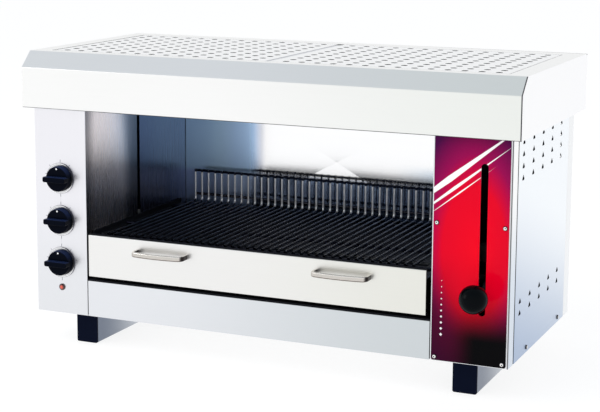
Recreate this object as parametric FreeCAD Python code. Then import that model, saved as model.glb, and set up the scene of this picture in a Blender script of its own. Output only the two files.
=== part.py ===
# Countertop cheese melter: a folded steel housing round an open chamber, three heating
# elements under a raised hood, a wire rack that a side lever lifts towards them, and a
# drip tray that slides out below the rack.
# Lengths are millimetres. X runs to the right, Y to the back and Z up.
# The pieces are drawn from the middle of the housing's front bottom edge. At the end they
# are moved, so that the origin is the middle of the footprint, on the table.
import FreeCAD, Part
import math
import os

Vector = FreeCAD.Vector

# Housing
body_width = 800.0
body_depth = 354.0
body_height = 337.0
sheet = 1.2
fold_radius = 1.0
left_column = 95.0
right_column = 119.2
front_return = 27.0
rear_return = 29.0
cover_gap = 2.0
cover_flange = 12.0
pan_flange = 15.0
cut_over = 2.0

# Gaps between pieces, and the shortest edge that is drawn
slide_gap = 0.3
turn_gap = 0.05
shortest_edge = 0.001

# Hood
hood_side_overhang = 14.0
hood_front_overhang = 12.0
hood_rear_overhang = 18.0
fascia_height = 65.0
chamfer_height = 25.0
chamfer_run = 26.0
hood_lip = 27.0
hood_rear_lip = 20.0
hood_side_lip = 29.0

# Vented top
vent_side_border = 32.0
vent_front_border = 18.0
vent_rear_border = 37.0
vent_gap = 1.0
vent_ledge = 8.0
vent_frame_lap = 8.0
vent_bar = 24.0
vent_middle_gap = 11.0
vent_sheet = 1.2
vent_hole = 8.0
vent_pitch_x = 25.9
vent_pitch_y = 27.4
vent_edge_x = 15.0
vent_edge_y = 13.0

# Vents in the side covers and the back
drop_width = 15.5
drop_height = 8.6
drop_corner = 1.5
drop_pitch_y = 54.3
drop_pitch_z = 17.8
drop_upper_rows = 4
drop_lower_rows = 2
drop_edge_y = 26.0
back_vent_columns = 5
back_vent_edge = 26.0
drop_upper_z = 9.0
drop_lower_z = 72.0

# Chamber
chamber_sheet = 1.0
back_wall_inset = 9.0
cross_break = 3.0
back_wall_rise = 43.0
side_wall_rise = 13.0
side_wall_notch = 20.0
slit_width = 9.0
slit_margin = 2.0
lower_front_height = 60.0
lower_front_gap = 1.5
lower_front_flange = 14.0

# Reflector and heating elements
reflector_inset = 16.0
reflector_rear_gap = 61.0
reflector_bottom = 3.0
reflector_height = 45.0
element_diameter = 8.5
element_count = 3
element_front = 24.0
element_rise = 21.0
element_end_margin = 34.0
element_tail = 26.0
element_pin = 4.0
element_pin_length = 12.0
element_wall_gap = 0.6
hanger_sheet = 2.0
hanger_side_margin = 110.0
hanger_lap = 10.0

# Feet
foot_width = 38.0
foot_height = 55.0
foot_setback = 31.0
foot_side_setback = 55.4
foot_wall = 1.5
foot_radius = 3.0
cap_flange = 3.0
cap_plug = 14.0
cap_clearance = 0.2

# Control column
control_middle_share = 0.5
control_lowest = 84.7
control_pitch = 69.4
control_names = ["bottom", "middle", "top"]
spindle_diameter = 6.0
spindle_hole = 10.0
switch_side = 42.0
switch_depth = 32.0
switch_corner = 5.0
terminal_width = 6.0
terminal_length = 8.0
terminal_sheet = 0.8
dial_diameter = 50.0
dial_bore = 12.0
dial_thickness = 1.2
dial_rim = 1.2
dial_rim_height = 0.8
knob_base_radius = 21.5
knob_top_radius = 20.0
knob_skirt = 10.5
knob_height = 20.5
knob_grip_width = 9.0
knob_grip_length = 41.0
knob_gap = 0.5
knob_bore_depth = 16.0
knob_round = 1.2
lamp_height = 43.2
lamp_diameter = 11.0
lamp_rim = 1.2
lamp_dome = 2.4
lamp_body_diameter = 9.0
lamp_body_length = 24.0

# Red plate on the right column
plate_thickness = 1.0
plate_left_inset = 1.7
plate_right_inset = 3.5
plate_bottom_inset = 1.0
plate_corner = 3.0
slot_width = 11.0
slot_below = 35.0
slot_above = 10.0
slot_from_edge = 77.7
screw_inset = 5.5
screw_upper_height = 208.5
screw_head = 7.0
screw_head_height = 2.0
screw_shank = 4.0
screw_length = 8.0
cover_screw_height = 8.0
cover_screw_front_edge = 68.0
cover_screw_rear_edge = 39.0

# Lift
lift_head_room = 7.0
guide_y = 172.0
rod_diameter = 12.0
block_width = 30.0
block_depth = 30.0
block_height = 60.0
block_below_tab = 25.0
tab_thickness = 4.0
tab_height = 30.0
tab_below_seat = 15.0
bracket_sheet = 3.0
bracket_leg = 28.0
bracket_depth = 54.0
rod_end = 6.0
lug_thickness = 6.0
lug_length = 23.0
lug_width = 20.0
lug_rise = 30.0
spring_diameter = 14.0
spring_bore = 11.0
spring_offset = 11.0
spring_hole_gap = 1.5
hanger_foot = 20.0
hanger_plate = 2.0
hanger_width = 20.0
hanger_height = 64.7
hanger_over = 4.0
arm_thickness = 5.0
arm_height = 24.0
arm_front = 8.0
lever_rise = 20.0
stud_diameter = 10.0
ball_diameter = 42.0
ball_stand_off = 42.0
ball_flat_diameter = 15.0
ball_bore_depth = 17.0

# Carriage that carries the rack
rail_sheet = 1.5
rail_gap = 1.5
rail_leg = 20.0
carriage_gap = 3.5
rail_upstand = 8.5
rail_front = 18.0
rail_rear_gap = 23.0
cross_bar_depth = 15.0
cross_bar_thickness = 3.0
cross_bar_front_inset = 42.0
cross_bar_rear_inset = 32.0

# Rack
bar_diameter = 3.8
bar_pitch = 13.0
cross_wire_diameter = 5.0
weld_sink = 0.4
rack_front = 12.0
rack_end_gap = 3.5
bar_edge = 31.0
front_wire_inset = 4.0
rear_wire_inset = 40.0
middle_wire_share = 0.386
fence_rear_gap = 25.0
fence_bend = 8.0
fence_bend_start = 0.5
fence_rail_diameter = 4.5
fence_height = 57.0

# Drip tray
tray_side_gap = 8.4
tray_right_gap = 5.6
tray_front_gap = 8.0
tray_front_height = 69.0
tray_stand_off = 8.0
tray_flange = 12.0
pan_side_inset = 0.6
pan_rise = 4.0
pan_depth = 50.0
pan_rear_gap = 27.0
pan_sheet = 1.0
runner_sheet = 1.5
runner_leg = 22.0
runner_upstand = 15.0
runner_front = 16.0
runner_rear_gap = 9.0

# Tray handles
handle_spacing_share = 0.538
handle_drop = 5.0
handle_span = 92.0
handle_reach = 19.0
handle_bow = 7.0
handle_section_height = 8.0
handle_section_depth = 5.0
handle_round = 1.8
handle_corner = 10.0
handle_bow_share = 0.94
handle_screw_depth = 6.0

# Mains inlet
gland_inset = 70.0
gland_height = 60.0
gland_thread = 20.0
gland_bore = 10.0
gland_flats = 24.0
gland_flange = 4.0
gland_nose = 9.0
gland_nut = 5.0
gland_inside = 10.0
terminal_block_inset = 58.0
terminal_block_rear_gap = 30.0
terminal_block_length = 60.0
terminal_block_depth = 24.0
terminal_block_height = 20.0
terminal_posts = 3
terminal_post_share = 0.6

# Places worked out from the sizes above
left_side = -body_width / 2
right_side = body_width / 2
opening_left = left_side + left_column
opening_right = right_side - right_column
opening_middle = (opening_left + opening_right) / 2
body_top = body_height
inner_left = opening_left - chamber_sheet
inner_right = opening_right + chamber_sheet
back_face = body_depth - back_wall_inset
floor_top = lower_front_height + chamber_sheet
hood_left = left_side - hood_side_overhang
hood_right = right_side + hood_side_overhang
hood_front = -hood_front_overhang
hood_rear = body_depth + hood_rear_overhang
chamfer_bottom = body_top + fascia_height
hood_top = chamfer_bottom + chamfer_height
top_front = hood_front + chamfer_run
vent_left = hood_left + vent_side_border
vent_right = hood_right - vent_side_border
vent_front = top_front + vent_front_border
vent_rear = hood_rear - vent_rear_border
control_x = left_side + left_column * control_middle_share
slot_x = opening_right + slot_from_edge
gland_x = right_side - gland_inset
cover_front = front_return + cover_gap
cover_rear = body_depth - rear_return - cover_gap
plate_left = opening_right + plate_left_inset
plate_right = right_side - plate_right_inset
plate_front = -plate_thickness
tray_front_bottom = lower_front_height + tray_front_gap
tray_front_top = tray_front_bottom + tray_front_height
pan_bottom = tray_front_bottom + pan_rise
pan_top = pan_bottom + pan_depth
pan_back = back_face - pan_rear_gap
handle_height = pan_top - handle_drop
rail_seat = pan_top + carriage_gap + cross_bar_thickness + rail_sheet
rail_back = back_face - rail_rear_gap
tab_bottom = rail_seat - tab_below_seat
block_bottom = tab_bottom - block_below_tab
block_top = block_bottom + block_height
lever_height = block_bottom + lever_rise
lift_travel = body_top - lift_head_room - block_top
slot_bottom = lever_height - slot_below
slot_top = lever_height + lift_travel + slot_above
left_rod_offset = inner_left - control_x
right_rod_offset = slot_x - arm_thickness / 2 - block_width / 2 - inner_right
bar_height = rail_seat + slide_gap + cross_wire_diameter + bar_diameter / 2 - weld_sink
bar_gaps = int((opening_right - opening_left - bar_edge * 2) / bar_pitch)
rack_left = opening_middle - bar_pitch * bar_gaps / 2
rack_right = opening_middle + bar_pitch * bar_gaps / 2
fence_y = back_face - fence_rear_gap
reflector_depth = back_face - reflector_inset - reflector_rear_gap
element_pitch = (reflector_depth - element_front * 2) / (element_count * 2 - 1)
reflector_top = body_top + reflector_bottom + reflector_height
element_height = body_top + element_rise
ball_y = plate_front - ball_stand_off
front_reach = ball_stand_off + plate_thickness + ball_diameter / 2
origin_shift = Vector(0, (front_reach - hood_rear) / 2, foot_height)

pieces = {}


def keep(name, shape):
    """Stores a finished piece under its node's name."""
    pieces[name] = shape


def box(x0, x1, y0, y1, z0, z1):
    return Part.makeBox(x1 - x0, y1 - y0, z1 - z0, Vector(x0, y0, z0))


def rod(start, end, diameter):
    """A round bar from one point to another."""
    along = end - start
    return Part.makeCylinder(diameter / 2, along.Length, start, along)


def joined(shapes):
    """One solid out of pieces that touch or lap."""
    return shapes[0].multiFuse(shapes[1:]).removeSplitter()


def in_plane(plane, u, v):
    """The point (u, v) of a drawing plane, named by its two axes."""
    if plane == "XY":
        return Vector(u, v, 0)
    if plane == "YZ":
        return Vector(0, u, v)
    return Vector(u, 0, v)


def along_normal(plane, length):
    """A step of that length square to a drawing plane."""
    if plane == "XY":
        return Vector(0, 0, length)
    if plane == "YZ":
        return Vector(length, 0, 0)
    return Vector(0, length, 0)


def unit(start, end):
    length = math.dist(start, end)
    return ((end[0] - start[0]) / length, (end[1] - start[1]) / length)


def rounded_edges(points, radii, plane, closed=False):
    """Lines through the points, with an arc of the given radius at each corner."""
    count = len(points)
    edges = []
    stops = []
    for i in range(count):
        at = points[i]
        if not closed and i in (0, count - 1):
            stops.append((at, at))
            continue
        before = unit(points[i - 1], at)
        after = unit(at, points[(i + 1) % count])
        turn = math.acos(max(-1, min(1, before[0] * after[0] + before[1] * after[1])))
        if radii[i] == 0 or turn == 0:
            stops.append((at, at))
            continue
        reach = radii[i] * math.tan(turn / 2)
        begin = (at[0] - before[0] * reach, at[1] - before[1] * reach)
        finish = (at[0] + after[0] * reach, at[1] + after[1] * reach)
        inward = unit((0, 0), (after[0] - before[0], after[1] - before[1]))
        sag = radii[i] / math.cos(turn / 2) - radii[i]
        middle = (at[0] + inward[0] * sag, at[1] + inward[1] * sag)
        arc = Part.Arc(in_plane(plane, *begin), in_plane(plane, *middle), in_plane(plane, *finish))
        edges.append(arc.toShape())
        stops.append((begin, finish))
    spans = range(count) if closed else range(count - 1)
    for i in spans:
        start = in_plane(plane, *stops[i][1])
        end = in_plane(plane, *stops[(i + 1) % count][0])
        if (end - start).Length > shortest_edge:
            edges.append(Part.LineSegment(start, end).toShape())
    return edges


def extruded(edges, plane, start, end):
    """The solid between two levels whose outline the edges draw."""
    face = Part.Face(Part.Wire(Part.__sortEdges__(edges)))
    face.translate(along_normal(plane, start))
    solid = face.extrude(along_normal(plane, end - start))
    return solid


def outline_solid(points, radius, plane, start, end):
    """A prism whose outline has the same radius at every corner."""
    edges = rounded_edges(points, [radius] * len(points), plane, closed=True)
    return extruded(edges, plane, start, end)


def cross_product(a, b):
    return a[0] * b[1] - a[1] * b[0]


def folded_sheet(points, thickness, plane, start, end, radii=None):
    """A folded strip. The points run along one face, and the metal lies to their left."""
    count = len(points)
    inside = radii or [fold_radius] * count
    near = [0] * count
    far = [0] * count
    other = []
    for i in range(count):
        before = unit(points[max(i - 1, 0)], points[max(i, 1)])
        after = unit(points[min(i, count - 2)], points[min(i + 1, count - 1)])
        normal = (-(before[1] + after[1]), before[0] + after[0])
        size = math.hypot(*normal)
        miter = 2 * thickness / size ** 2
        other.append((points[i][0] + normal[0] * miter, points[i][1] + normal[1] * miter))
        if 0 < i < count - 1:
            turns_left = cross_product(before, after) > 0
            near[i] = inside[i] + (thickness if turns_left else 0)
            far[i] = inside[i] + (0 if turns_left else thickness)
    edges = rounded_edges(points, near, plane) + rounded_edges(other, far, plane)
    for i in (0, count - 1):
        tip = Part.LineSegment(in_plane(plane, *points[i]), in_plane(plane, *other[i]))
        edges.append(tip.toShape())
    return extruded(edges, plane, start, end)


def bent_wire(points, radii, plane, diameter):
    """A round wire whose middle line follows the points, with a bend at each corner."""
    path = Part.Wire(Part.__sortEdges__(rounded_edges(points, radii, plane)))
    start = in_plane(plane, *points[0])
    along = in_plane(plane, *points[1]) - start
    section = Part.Wire(Part.makeCircle(diameter / 2, start, along))
    return path.makePipeShell([section], True, False)


def rounded(shape, radius, wanted):
    """Rounds the edges that the test picks."""
    edges = [edge for edge in shape.Edges if wanted(edge)]
    return shape.makeFillet(radius, edges)


def runs_along(edge, axis):
    """Whether a straight edge runs along an axis, 0 for X, 1 for Y and 2 for Z."""
    if len(edge.Vertexes) != 2:
        return False
    step = edge.Vertexes[1].Point - edge.Vertexes[0].Point
    return edge.Length > 0 and abs(abs(step[axis]) - edge.Length) < edge.Length * 1e-6


def drop_hole(y, z, x0, x1):
    """A vent hole with a broad foot and a pointed top, cut along X."""
    foot = z - drop_height / 2
    corners = [(y - drop_width / 2, foot), (y + drop_width / 2, foot), (y, foot + drop_height)]
    edges = rounded_edges(corners, [drop_corner, drop_corner, 0], "YZ", closed=True)
    return extruded(edges, "YZ", x0, x1)


def pan_head_screw(place, inward):
    """A screw whose head sits on the face at the place and whose shank goes inward."""
    head = rod(place - inward * screw_head_height, place, screw_head)
    crown = screw_head_height * 2 / 3
    rim = [edge for edge in head.Edges if len(edge.Vertexes) == 1
           and (edge.Curve.Center - place).Length > screw_head_height / 2]
    head = head.makeFillet(crown, rim)
    return head.fuse(rod(place, place + inward * screw_length, screw_shank))


def screw_hole(place, inward):
    start = place - inward * cut_over
    return rod(start, start + inward * (screw_length + cut_over), screw_shank + turn_gap * 2)


# Housing sheets


def base_pan():
    left = left_side + sheet
    right = right_side - sheet
    path = [(left, pan_flange), (left, 0), (right, 0), (right, pan_flange)]
    pan = folded_sheet(path, sheet, "XZ", sheet, body_depth - sheet)
    return pan.cut(Part.makeCompound([screw_hole(*spot) for spot in cover_screw_spots()]))


def cover_screw_spots():
    """Where the side covers are screwed on, and the way each screw goes in."""
    spots = []
    for x, inward in ((left_side, Vector(1, 0, 0)), (right_side, Vector(-1, 0, 0))):
        for y in (cover_front + cover_screw_front_edge, cover_rear - cover_screw_rear_edge):
            spots.append((Vector(x, y, cover_screw_height), inward))
    return spots


def corner_notch(side):
    """Room at the foot of an inward flange for the pan's upturned edge."""
    x0, x1 = sorted((side * (right_side - sheet), side * (right_side - cover_flange - cut_over)))
    return box(x0, x1, sheet, body_depth - sheet, -cut_over, pan_flange + fold_radius)


def control_front():
    inner = left_side + cover_flange
    path = [(inner, front_return), (left_side, front_return), (left_side, 0), (opening_left, 0)]
    front = folded_sheet(path, sheet, "XY", 0, body_top)
    holes = [corner_notch(-1)]
    for z in control_heights():
        holes.append(rod(Vector(control_x, -cut_over, z), Vector(control_x, cut_over, z), spindle_hole))
    lamp = Vector(control_x, -cut_over, lamp_height)
    holes.append(rod(lamp, lamp + Vector(0, cut_over * 2, 0), lamp_body_diameter + turn_gap * 2))
    return front.cut(Part.makeCompound(holes))


def control_heights():
    return [control_lowest + control_pitch * i for i in range(len(control_names))]


def lever_slot(y0, y1):
    """The long slot that the lever comes through."""
    half = slot_width / 2
    corners = [
        (slot_x - half, slot_bottom),
        (slot_x + half, slot_bottom),
        (slot_x + half, slot_top),
        (slot_x - half, slot_top),
    ]
    return outline_solid(corners, half, "XZ", y0, y1)


def plate_screw_spots():
    spots = []
    for x in (plate_left + screw_inset, plate_right - screw_inset):
        for z in (plate_bottom_inset + screw_inset, screw_upper_height):
            spots.append((Vector(x, plate_front, z), Vector(0, 1, 0)))
    return spots


def right_front():
    inner = right_side - cover_flange
    path = [(opening_right, 0), (right_side, 0), (right_side, front_return), (inner, front_return)]
    front = folded_sheet(path, sheet, "XY", 0, body_top)
    holes = [screw_hole(*spot) for spot in plate_screw_spots()]
    return front.cut(Part.makeCompound(holes + [lever_slot(-cut_over, cut_over), corner_notch(1)]))


def decorated_plate():
    corners = [
        (plate_left, plate_bottom_inset),
        (plate_right, plate_bottom_inset),
        (plate_right, body_top),
        (plate_left, body_top),
    ]
    plate = outline_solid(corners, plate_corner, "XZ", plate_front, 0)
    holes = [screw_hole(*spot) for spot in plate_screw_spots()]
    return plate.cut(Part.makeCompound(holes + [lever_slot(-cut_over, cut_over)]))


def lower_front():
    path = [(lower_front_flange, lower_front_height), (0, lower_front_height), (0, 0)]
    left = opening_left + lower_front_gap
    return folded_sheet(path, sheet, "YZ", left, opening_right - lower_front_gap)


def side_cover(side):
    """A vented cover. Side is -1 on the left and 1 on the right."""
    inner = left_side + cover_flange
    path = [(inner, cover_rear), (left_side, cover_rear), (left_side, cover_front), (inner, cover_front)]
    cover = folded_sheet(path, sheet, "XY", 0, body_top)
    holes = [corner_notch(-1)]
    rows = [body_top - drop_upper_z - drop_pitch_z * i for i in range(drop_upper_rows)]
    rows += [drop_lower_z + drop_pitch_z * i for i in range(drop_lower_rows)]
    steps = int((cover_rear - cover_front - drop_edge_y * 2) / drop_pitch_y)
    for z in rows:
        for i in range(steps + 1):
            y = cover_front + drop_edge_y + drop_pitch_y * i
            holes.append(drop_hole(y, z, left_side - cut_over, left_side + cut_over))
    for place, inward in cover_screw_spots():
        if place.x < 0:
            holes.append(screw_hole(place, inward))
    cover = cover.cut(Part.makeCompound(holes))
    return cover if side < 0 else cover.mirror(Vector(0, 0, 0), Vector(1, 0, 0))


def back_panel():
    start = body_depth - rear_return
    inner = right_side - cover_flange
    path = [
        (inner, start),
        (right_side, start),
        (right_side, body_depth),
        (left_side, body_depth),
        (left_side, start),
        (-inner, start),
    ]
    panel = folded_sheet(path, sheet, "XY", 0, body_top)
    inlet = Vector(gland_x, body_depth - cut_over, gland_height)
    holes = [corner_notch(-1), corner_notch(1)]
    holes.append(rod(inlet, inlet + Vector(0, cut_over * 2, 0), gland_thread + turn_gap * 2))
    for side in (-1, 1):
        for row in range(drop_upper_rows):
            for column in range(back_vent_columns):
                hole = drop_hole(0, 0, -cut_over, cut_over)
                hole.rotate(Vector(0, 0, 0), Vector(0, 0, 1), 90)
                x = side * (opening_right + back_vent_edge + drop_pitch_z * column)
                z = body_top - back_vent_edge - drop_pitch_z * row
                hole.translate(Vector(x, body_depth, z))
                holes.append(hole)
    return panel.cut(Part.makeCompound(holes))


# Hood and vented top


def hood_outline(inset):
    """The hood's section seen from its end, all sides moved in by the same amount."""
    slant = math.hypot(chamfer_run, chamfer_height)
    low = inset * (slant - chamfer_run) / chamfer_height
    high = inset * (slant - chamfer_height) / chamfer_run
    return [
        (hood_rear - inset, body_top + inset),
        (hood_rear - inset, hood_top - inset),
        (top_front + high, hood_top - inset),
        (hood_front + inset, chamfer_bottom - low),
        (hood_front + inset, body_top + inset),
    ]


def hood_shell():
    outer = outline_solid(hood_outline(0), fold_radius + sheet, "YZ", hood_left, hood_right)
    inner = outline_solid(hood_outline(sheet), fold_radius, "YZ", hood_left + sheet, hood_right - sheet)
    opening = box(vent_left, vent_right, vent_front, vent_rear, hood_top - sheet * 2, hood_top + cut_over)
    floor_cut = box(hood_left + hood_side_lip, hood_right - hood_side_lip, hood_front + hood_lip,
                    hood_rear - hood_rear_lip, body_top - cut_over, body_top + sheet * 2)
    return outer.cut(Part.makeCompound([inner, opening, floor_cut]))


def vent_frame():
    """The ledge under the top's opening, with a bar between the two panels."""
    top = hood_top - sheet
    bottom = top - vent_sheet
    lap = vent_frame_lap
    ring = box(vent_left - lap, vent_right + lap, vent_front - lap, vent_rear + lap, bottom, top)
    half = vent_bar / 2
    for x0, x1 in ((vent_left + vent_ledge, -half), (half, vent_right - vent_ledge)):
        ring = ring.cut(box(x0, x1, vent_front + vent_ledge, vent_rear - vent_ledge,
                            bottom - cut_over, top + cut_over))
    return ring


def vent_panel(side):
    edge = vent_right - vent_gap
    inner = vent_middle_gap / 2
    x0, x1 = (inner, edge) if side > 0 else (-edge, -inner)
    bottom = hood_top - sheet
    panel = box(x0, x1, vent_front + vent_gap, vent_rear - vent_gap, bottom, hood_top)
    holes = []
    columns = int((vent_right - vent_edge_x) / vent_pitch_x)
    row_gaps = int((vent_rear - vent_front - vent_edge_y * 2) / vent_pitch_y)
    for column in range(columns):
        for row in range(row_gaps + 1):
            x = side * vent_pitch_x * (column + 1)
            y = vent_front + vent_edge_y + vent_pitch_y * row
            start = Vector(x, y, bottom - cut_over)
            holes.append(Part.makeCylinder(vent_hole / 2, sheet + cut_over * 2, start))
    return panel.cut(Part.makeCompound(holes))


# Chamber


def guide_slit(x0, x1):
    low = tab_bottom - slit_margin
    high = tab_bottom + tab_height + lift_travel + slit_margin
    return box(x0, x1, guide_y - slit_width / 2, guide_y + slit_width / 2, low, high)


def side_wall(x0, x1):
    wall = box(x0, x1, sheet, back_face, sheet, body_top)
    head = box(x0, x1, side_wall_notch, back_face, body_top, body_top + side_wall_rise)
    return joined([wall, head]).cut(guide_slit(x0 - cut_over, x1 + cut_over))


def chamber_back():
    """The polished back wall, pressed with a shallow cross that dishes to the rear."""
    low = floor_top
    high = body_top + back_wall_rise
    corners = [(inner_left, low), (inner_right, low), (inner_right, high), (inner_left, high)]
    centre = ((inner_left + inner_right) / 2, (low + high) / 2)
    faces = []
    for depth in (0, chamber_sheet):
        apex = Vector(centre[0], back_face + cross_break + depth, centre[1])
        ring = [Vector(x, back_face + depth, z) for x, z in corners]
        for i in range(len(ring)):
            following = ring[(i + 1) % len(ring)]
            faces.append(Part.Face(Part.makePolygon([ring[i], following, apex, ring[i]])))
    for i in range(len(corners)):
        a = Vector(corners[i][0], back_face, corners[i][1])
        b = Vector(corners[(i + 1) % len(corners)][0], back_face, corners[(i + 1) % len(corners)][1])
        step = Vector(0, chamber_sheet, 0)
        faces.append(Part.Face(Part.makePolygon([a, b, b + step, a + step, a])))
    solid = Part.makeSolid(Part.makeShell(faces))
    if solid.Volume < 0:
        solid.reverse()
    return solid


def chamber_floor():
    low = lower_front_height - cover_flange
    path = [(opening_right, low), (opening_right, floor_top), (opening_left, floor_top), (opening_left, low)]
    return folded_sheet(path, chamber_sheet, "XZ", sheet, back_face)


def element_leg_places():
    """The Y place of each straight stretch of the heating elements."""
    first = reflector_inset + element_front
    return [first + element_pitch * i for i in range(element_count * 2)]


def reflector():
    low = body_top + reflector_bottom
    rear = reflector_inset + reflector_depth
    outer = box(opening_left, opening_right, reflector_inset, rear, low, reflector_top)
    thick = chamber_sheet
    inner = box(opening_left + thick, opening_right - thick, reflector_inset + thick, rear - thick,
                low - cut_over, reflector_top - thick)
    holes = []
    for y in element_leg_places():
        start = Vector(opening_left - cut_over, y, element_height)
        end = Vector(opening_left + cut_over, y, element_height)
        holes.append(rod(start, end, element_diameter + element_wall_gap * 2))
    return outer.cut(Part.makeCompound([inner] + holes))


def heating_element(y0):
    """A hairpin tube with its two cold ends past the reflector's left side."""
    z = element_height
    y1 = y0 + element_pitch
    start = opening_left - element_tail
    end = opening_right - element_end_margin
    points = [(start, y0), (end, y0), (end, y1), (start, y1)]
    bend = element_pitch / 2
    tube = bent_wire(points, [0, bend, bend, 0], "XY", element_diameter)
    tube.translate(Vector(0, 0, z))
    solids = [tube]
    for y in (y0, y1):
        solids.append(rod(Vector(start - element_pin_length, y, z), Vector(start, y, z), element_pin))
    return joined(solids)


def element_hangers():
    """Two plates that hang from the reflector and hold the elements' legs."""
    low = element_height - element_diameter / 2 - hanger_lap
    plates = []
    places = (opening_left + hanger_side_margin, opening_right - hanger_side_margin)
    front = reflector_inset + chamber_sheet
    rear = reflector_inset + reflector_depth - chamber_sheet
    for x in places:
        plate = box(x, x + hanger_sheet, front, rear, low, reflector_top - chamber_sheet)
        holes = []
        for y in element_leg_places():
            start = Vector(x - cut_over, y, element_height)
            end = Vector(x + hanger_sheet + cut_over, y, element_height)
            holes.append(rod(start, end, element_diameter + turn_gap * 2))
        plates.append(plate.cut(Part.makeCompound(holes)))
    return Part.makeCompound(plates)


# Feet


def foot_corners(inset, x):
    half = foot_width / 2 - inset
    return [
        (x - half, -foot_height + inset),
        (x + half, -foot_height + inset),
        (x + half, -inset),
        (x - half, -inset),
    ]


def foot_x(side):
    return side * (right_side - foot_side_setback - foot_width / 2)


def foot_tube(side):
    x = foot_x(side)
    front = foot_setback + cap_flange
    rear = body_depth - foot_setback - cap_flange
    outer = outline_solid(foot_corners(0, x), foot_radius, "XZ", front, rear)
    bore = outline_solid(foot_corners(foot_wall, x), foot_radius - foot_wall, "XZ", front, rear)
    return outer.cut(bore)


def foot_cap(x, y, inward):
    """The plug in one end of a tube, with a flange that covers the tube's end."""
    start = y + inward * cap_flange
    end = start + inward * cap_plug
    flange = outline_solid(foot_corners(0, x), foot_radius, "XZ", *sorted((y, start)))
    inset = foot_wall + cap_clearance
    plug = outline_solid(foot_corners(inset, x), foot_radius - foot_wall, "XZ", *sorted((start, end)))
    return joined([flange, plug])


def foot_caps():
    caps = []
    for side in (-1, 1):
        caps.append(foot_cap(foot_x(side), foot_setback, 1))
        caps.append(foot_cap(foot_x(side), body_depth - foot_setback, -1))
    return Part.makeCompound(caps)


# Controls


def switch(z):
    """The housing of a rotary switch behind the column's front, with its terminals."""
    half = switch_side / 2
    corners = [
        (control_x - half, z - half),
        (control_x + half, z - half),
        (control_x + half, z + half),
        (control_x - half, z + half),
    ]
    rear = sheet + switch_depth
    case = outline_solid(corners, switch_corner, "XZ", sheet, rear)
    start = Vector(control_x, 0, z)
    bore = rod(start, start + Vector(0, switch_depth, 0), spindle_diameter + turn_gap * 2)
    blades = []
    for across in (-half / 2, half / 2):
        for up in (-half / 2, half / 2):
            x = control_x + across
            blades.append(box(x - terminal_width / 2, x + terminal_width / 2, rear, rear + terminal_length,
                              z + up, z + up + terminal_sheet))
    return joined([case.cut(bore)] + blades)


def spindle(z):
    start = Vector(control_x, sheet + switch_depth * 0.8, z)
    end = Vector(control_x, -dial_thickness - knob_gap - knob_bore_depth + slide_gap, z)
    return rod(start, end, spindle_diameter)


def dial_ring(z):
    """The bright disc behind a knob, with a raised rim."""
    centre = Vector(control_x, 0, z)
    out = Vector(0, -1, 0)
    disc = rod(centre, centre + out * (dial_thickness + dial_rim_height), dial_diameter)
    well = rod(centre + out * dial_thickness, centre + out * (dial_thickness + cut_over),
               dial_diameter - dial_rim * 2)
    bore = rod(centre - out * cut_over, centre + out * (dial_thickness + cut_over), dial_bore)
    return disc.cut(well).cut(bore)


def knob(z):
    """A knob with a low round skirt and a bar across it to grip."""
    rear = -dial_thickness - knob_gap
    face = rear - knob_skirt
    top = rear - knob_height
    profile = [(0, rear), (knob_base_radius, rear), (knob_top_radius, face), (0, face)]
    radii = [0, knob_round / 2, knob_round, 0]
    edges = rounded_edges([(r, y) for r, y in profile], radii, "XY", closed=True)
    section = Part.Face(Part.Wire(Part.__sortEdges__(edges)))
    skirt = section.revolve(Vector(0, 0, 0), Vector(0, 1, 0), 360)
    half = knob_grip_length / 2
    wide = knob_grip_width / 2
    grip = box(-half, half, top, rear - knob_round, -wide, wide)
    grip = rounded(grip, wide * 0.6, lambda edge: runs_along(edge, 1))
    grip = rounded(grip, knob_round, lambda edge: abs(edge.CenterOfMass.y - top) < knob_round / 4)
    body = joined([skirt, grip])
    bore = rod(Vector(0, rear + cut_over, 0), Vector(0, rear - knob_bore_depth, 0),
               spindle_diameter + turn_gap * 2)
    body = body.cut(bore)
    body.translate(Vector(control_x, 0, z))
    return body


def pilot_lens():
    """A low domed lens with a flange that sits on the column."""
    radius = lamp_diameter / 2
    crown = radius - lamp_rim / 2
    sphere_radius = (crown ** 2 + lamp_dome ** 2) / (2 * lamp_dome)
    flange = rod(Vector(control_x, 0, lamp_height), Vector(control_x, -lamp_rim, lamp_height), lamp_diameter)
    centre = Vector(control_x, -lamp_rim - lamp_dome + sphere_radius, lamp_height)
    dome = Part.makeSphere(sphere_radius, centre)
    front = box(control_x - radius, control_x + radius, -lamp_rim - lamp_dome - cut_over, -lamp_rim,
                lamp_height - radius, lamp_height + radius)
    return joined([flange, dome.common(front)])


def pilot_body():
    start = Vector(control_x, 0, lamp_height)
    return rod(start, start + Vector(0, lamp_body_length, 0), lamp_body_diameter)


# Lift


def beside_wall(shape, side):
    """Puts a shape drawn outward from X = 0 beside the left or the right chamber wall."""
    if side > 0:
        moved = shape.copy()
        moved.translate(Vector(inner_right, 0, 0))
        return moved
    moved = shape.mirror(Vector(0, 0, 0), Vector(1, 0, 0))
    moved.translate(Vector(inner_left, 0, 0))
    return moved


def rod_offset(side):
    """How far outward from the chamber's wall a guide rod stands."""
    return right_rod_offset if side > 0 else left_rod_offset


def guide_rod(side):
    bottom = block_bottom - slide_gap - bracket_sheet - rod_end
    top = block_top + lift_travel + slide_gap + bracket_sheet + rod_end
    x = rod_offset(side)
    return beside_wall(rod(Vector(x, guide_y, bottom), Vector(x, guide_y, top), rod_diameter), side)


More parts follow.
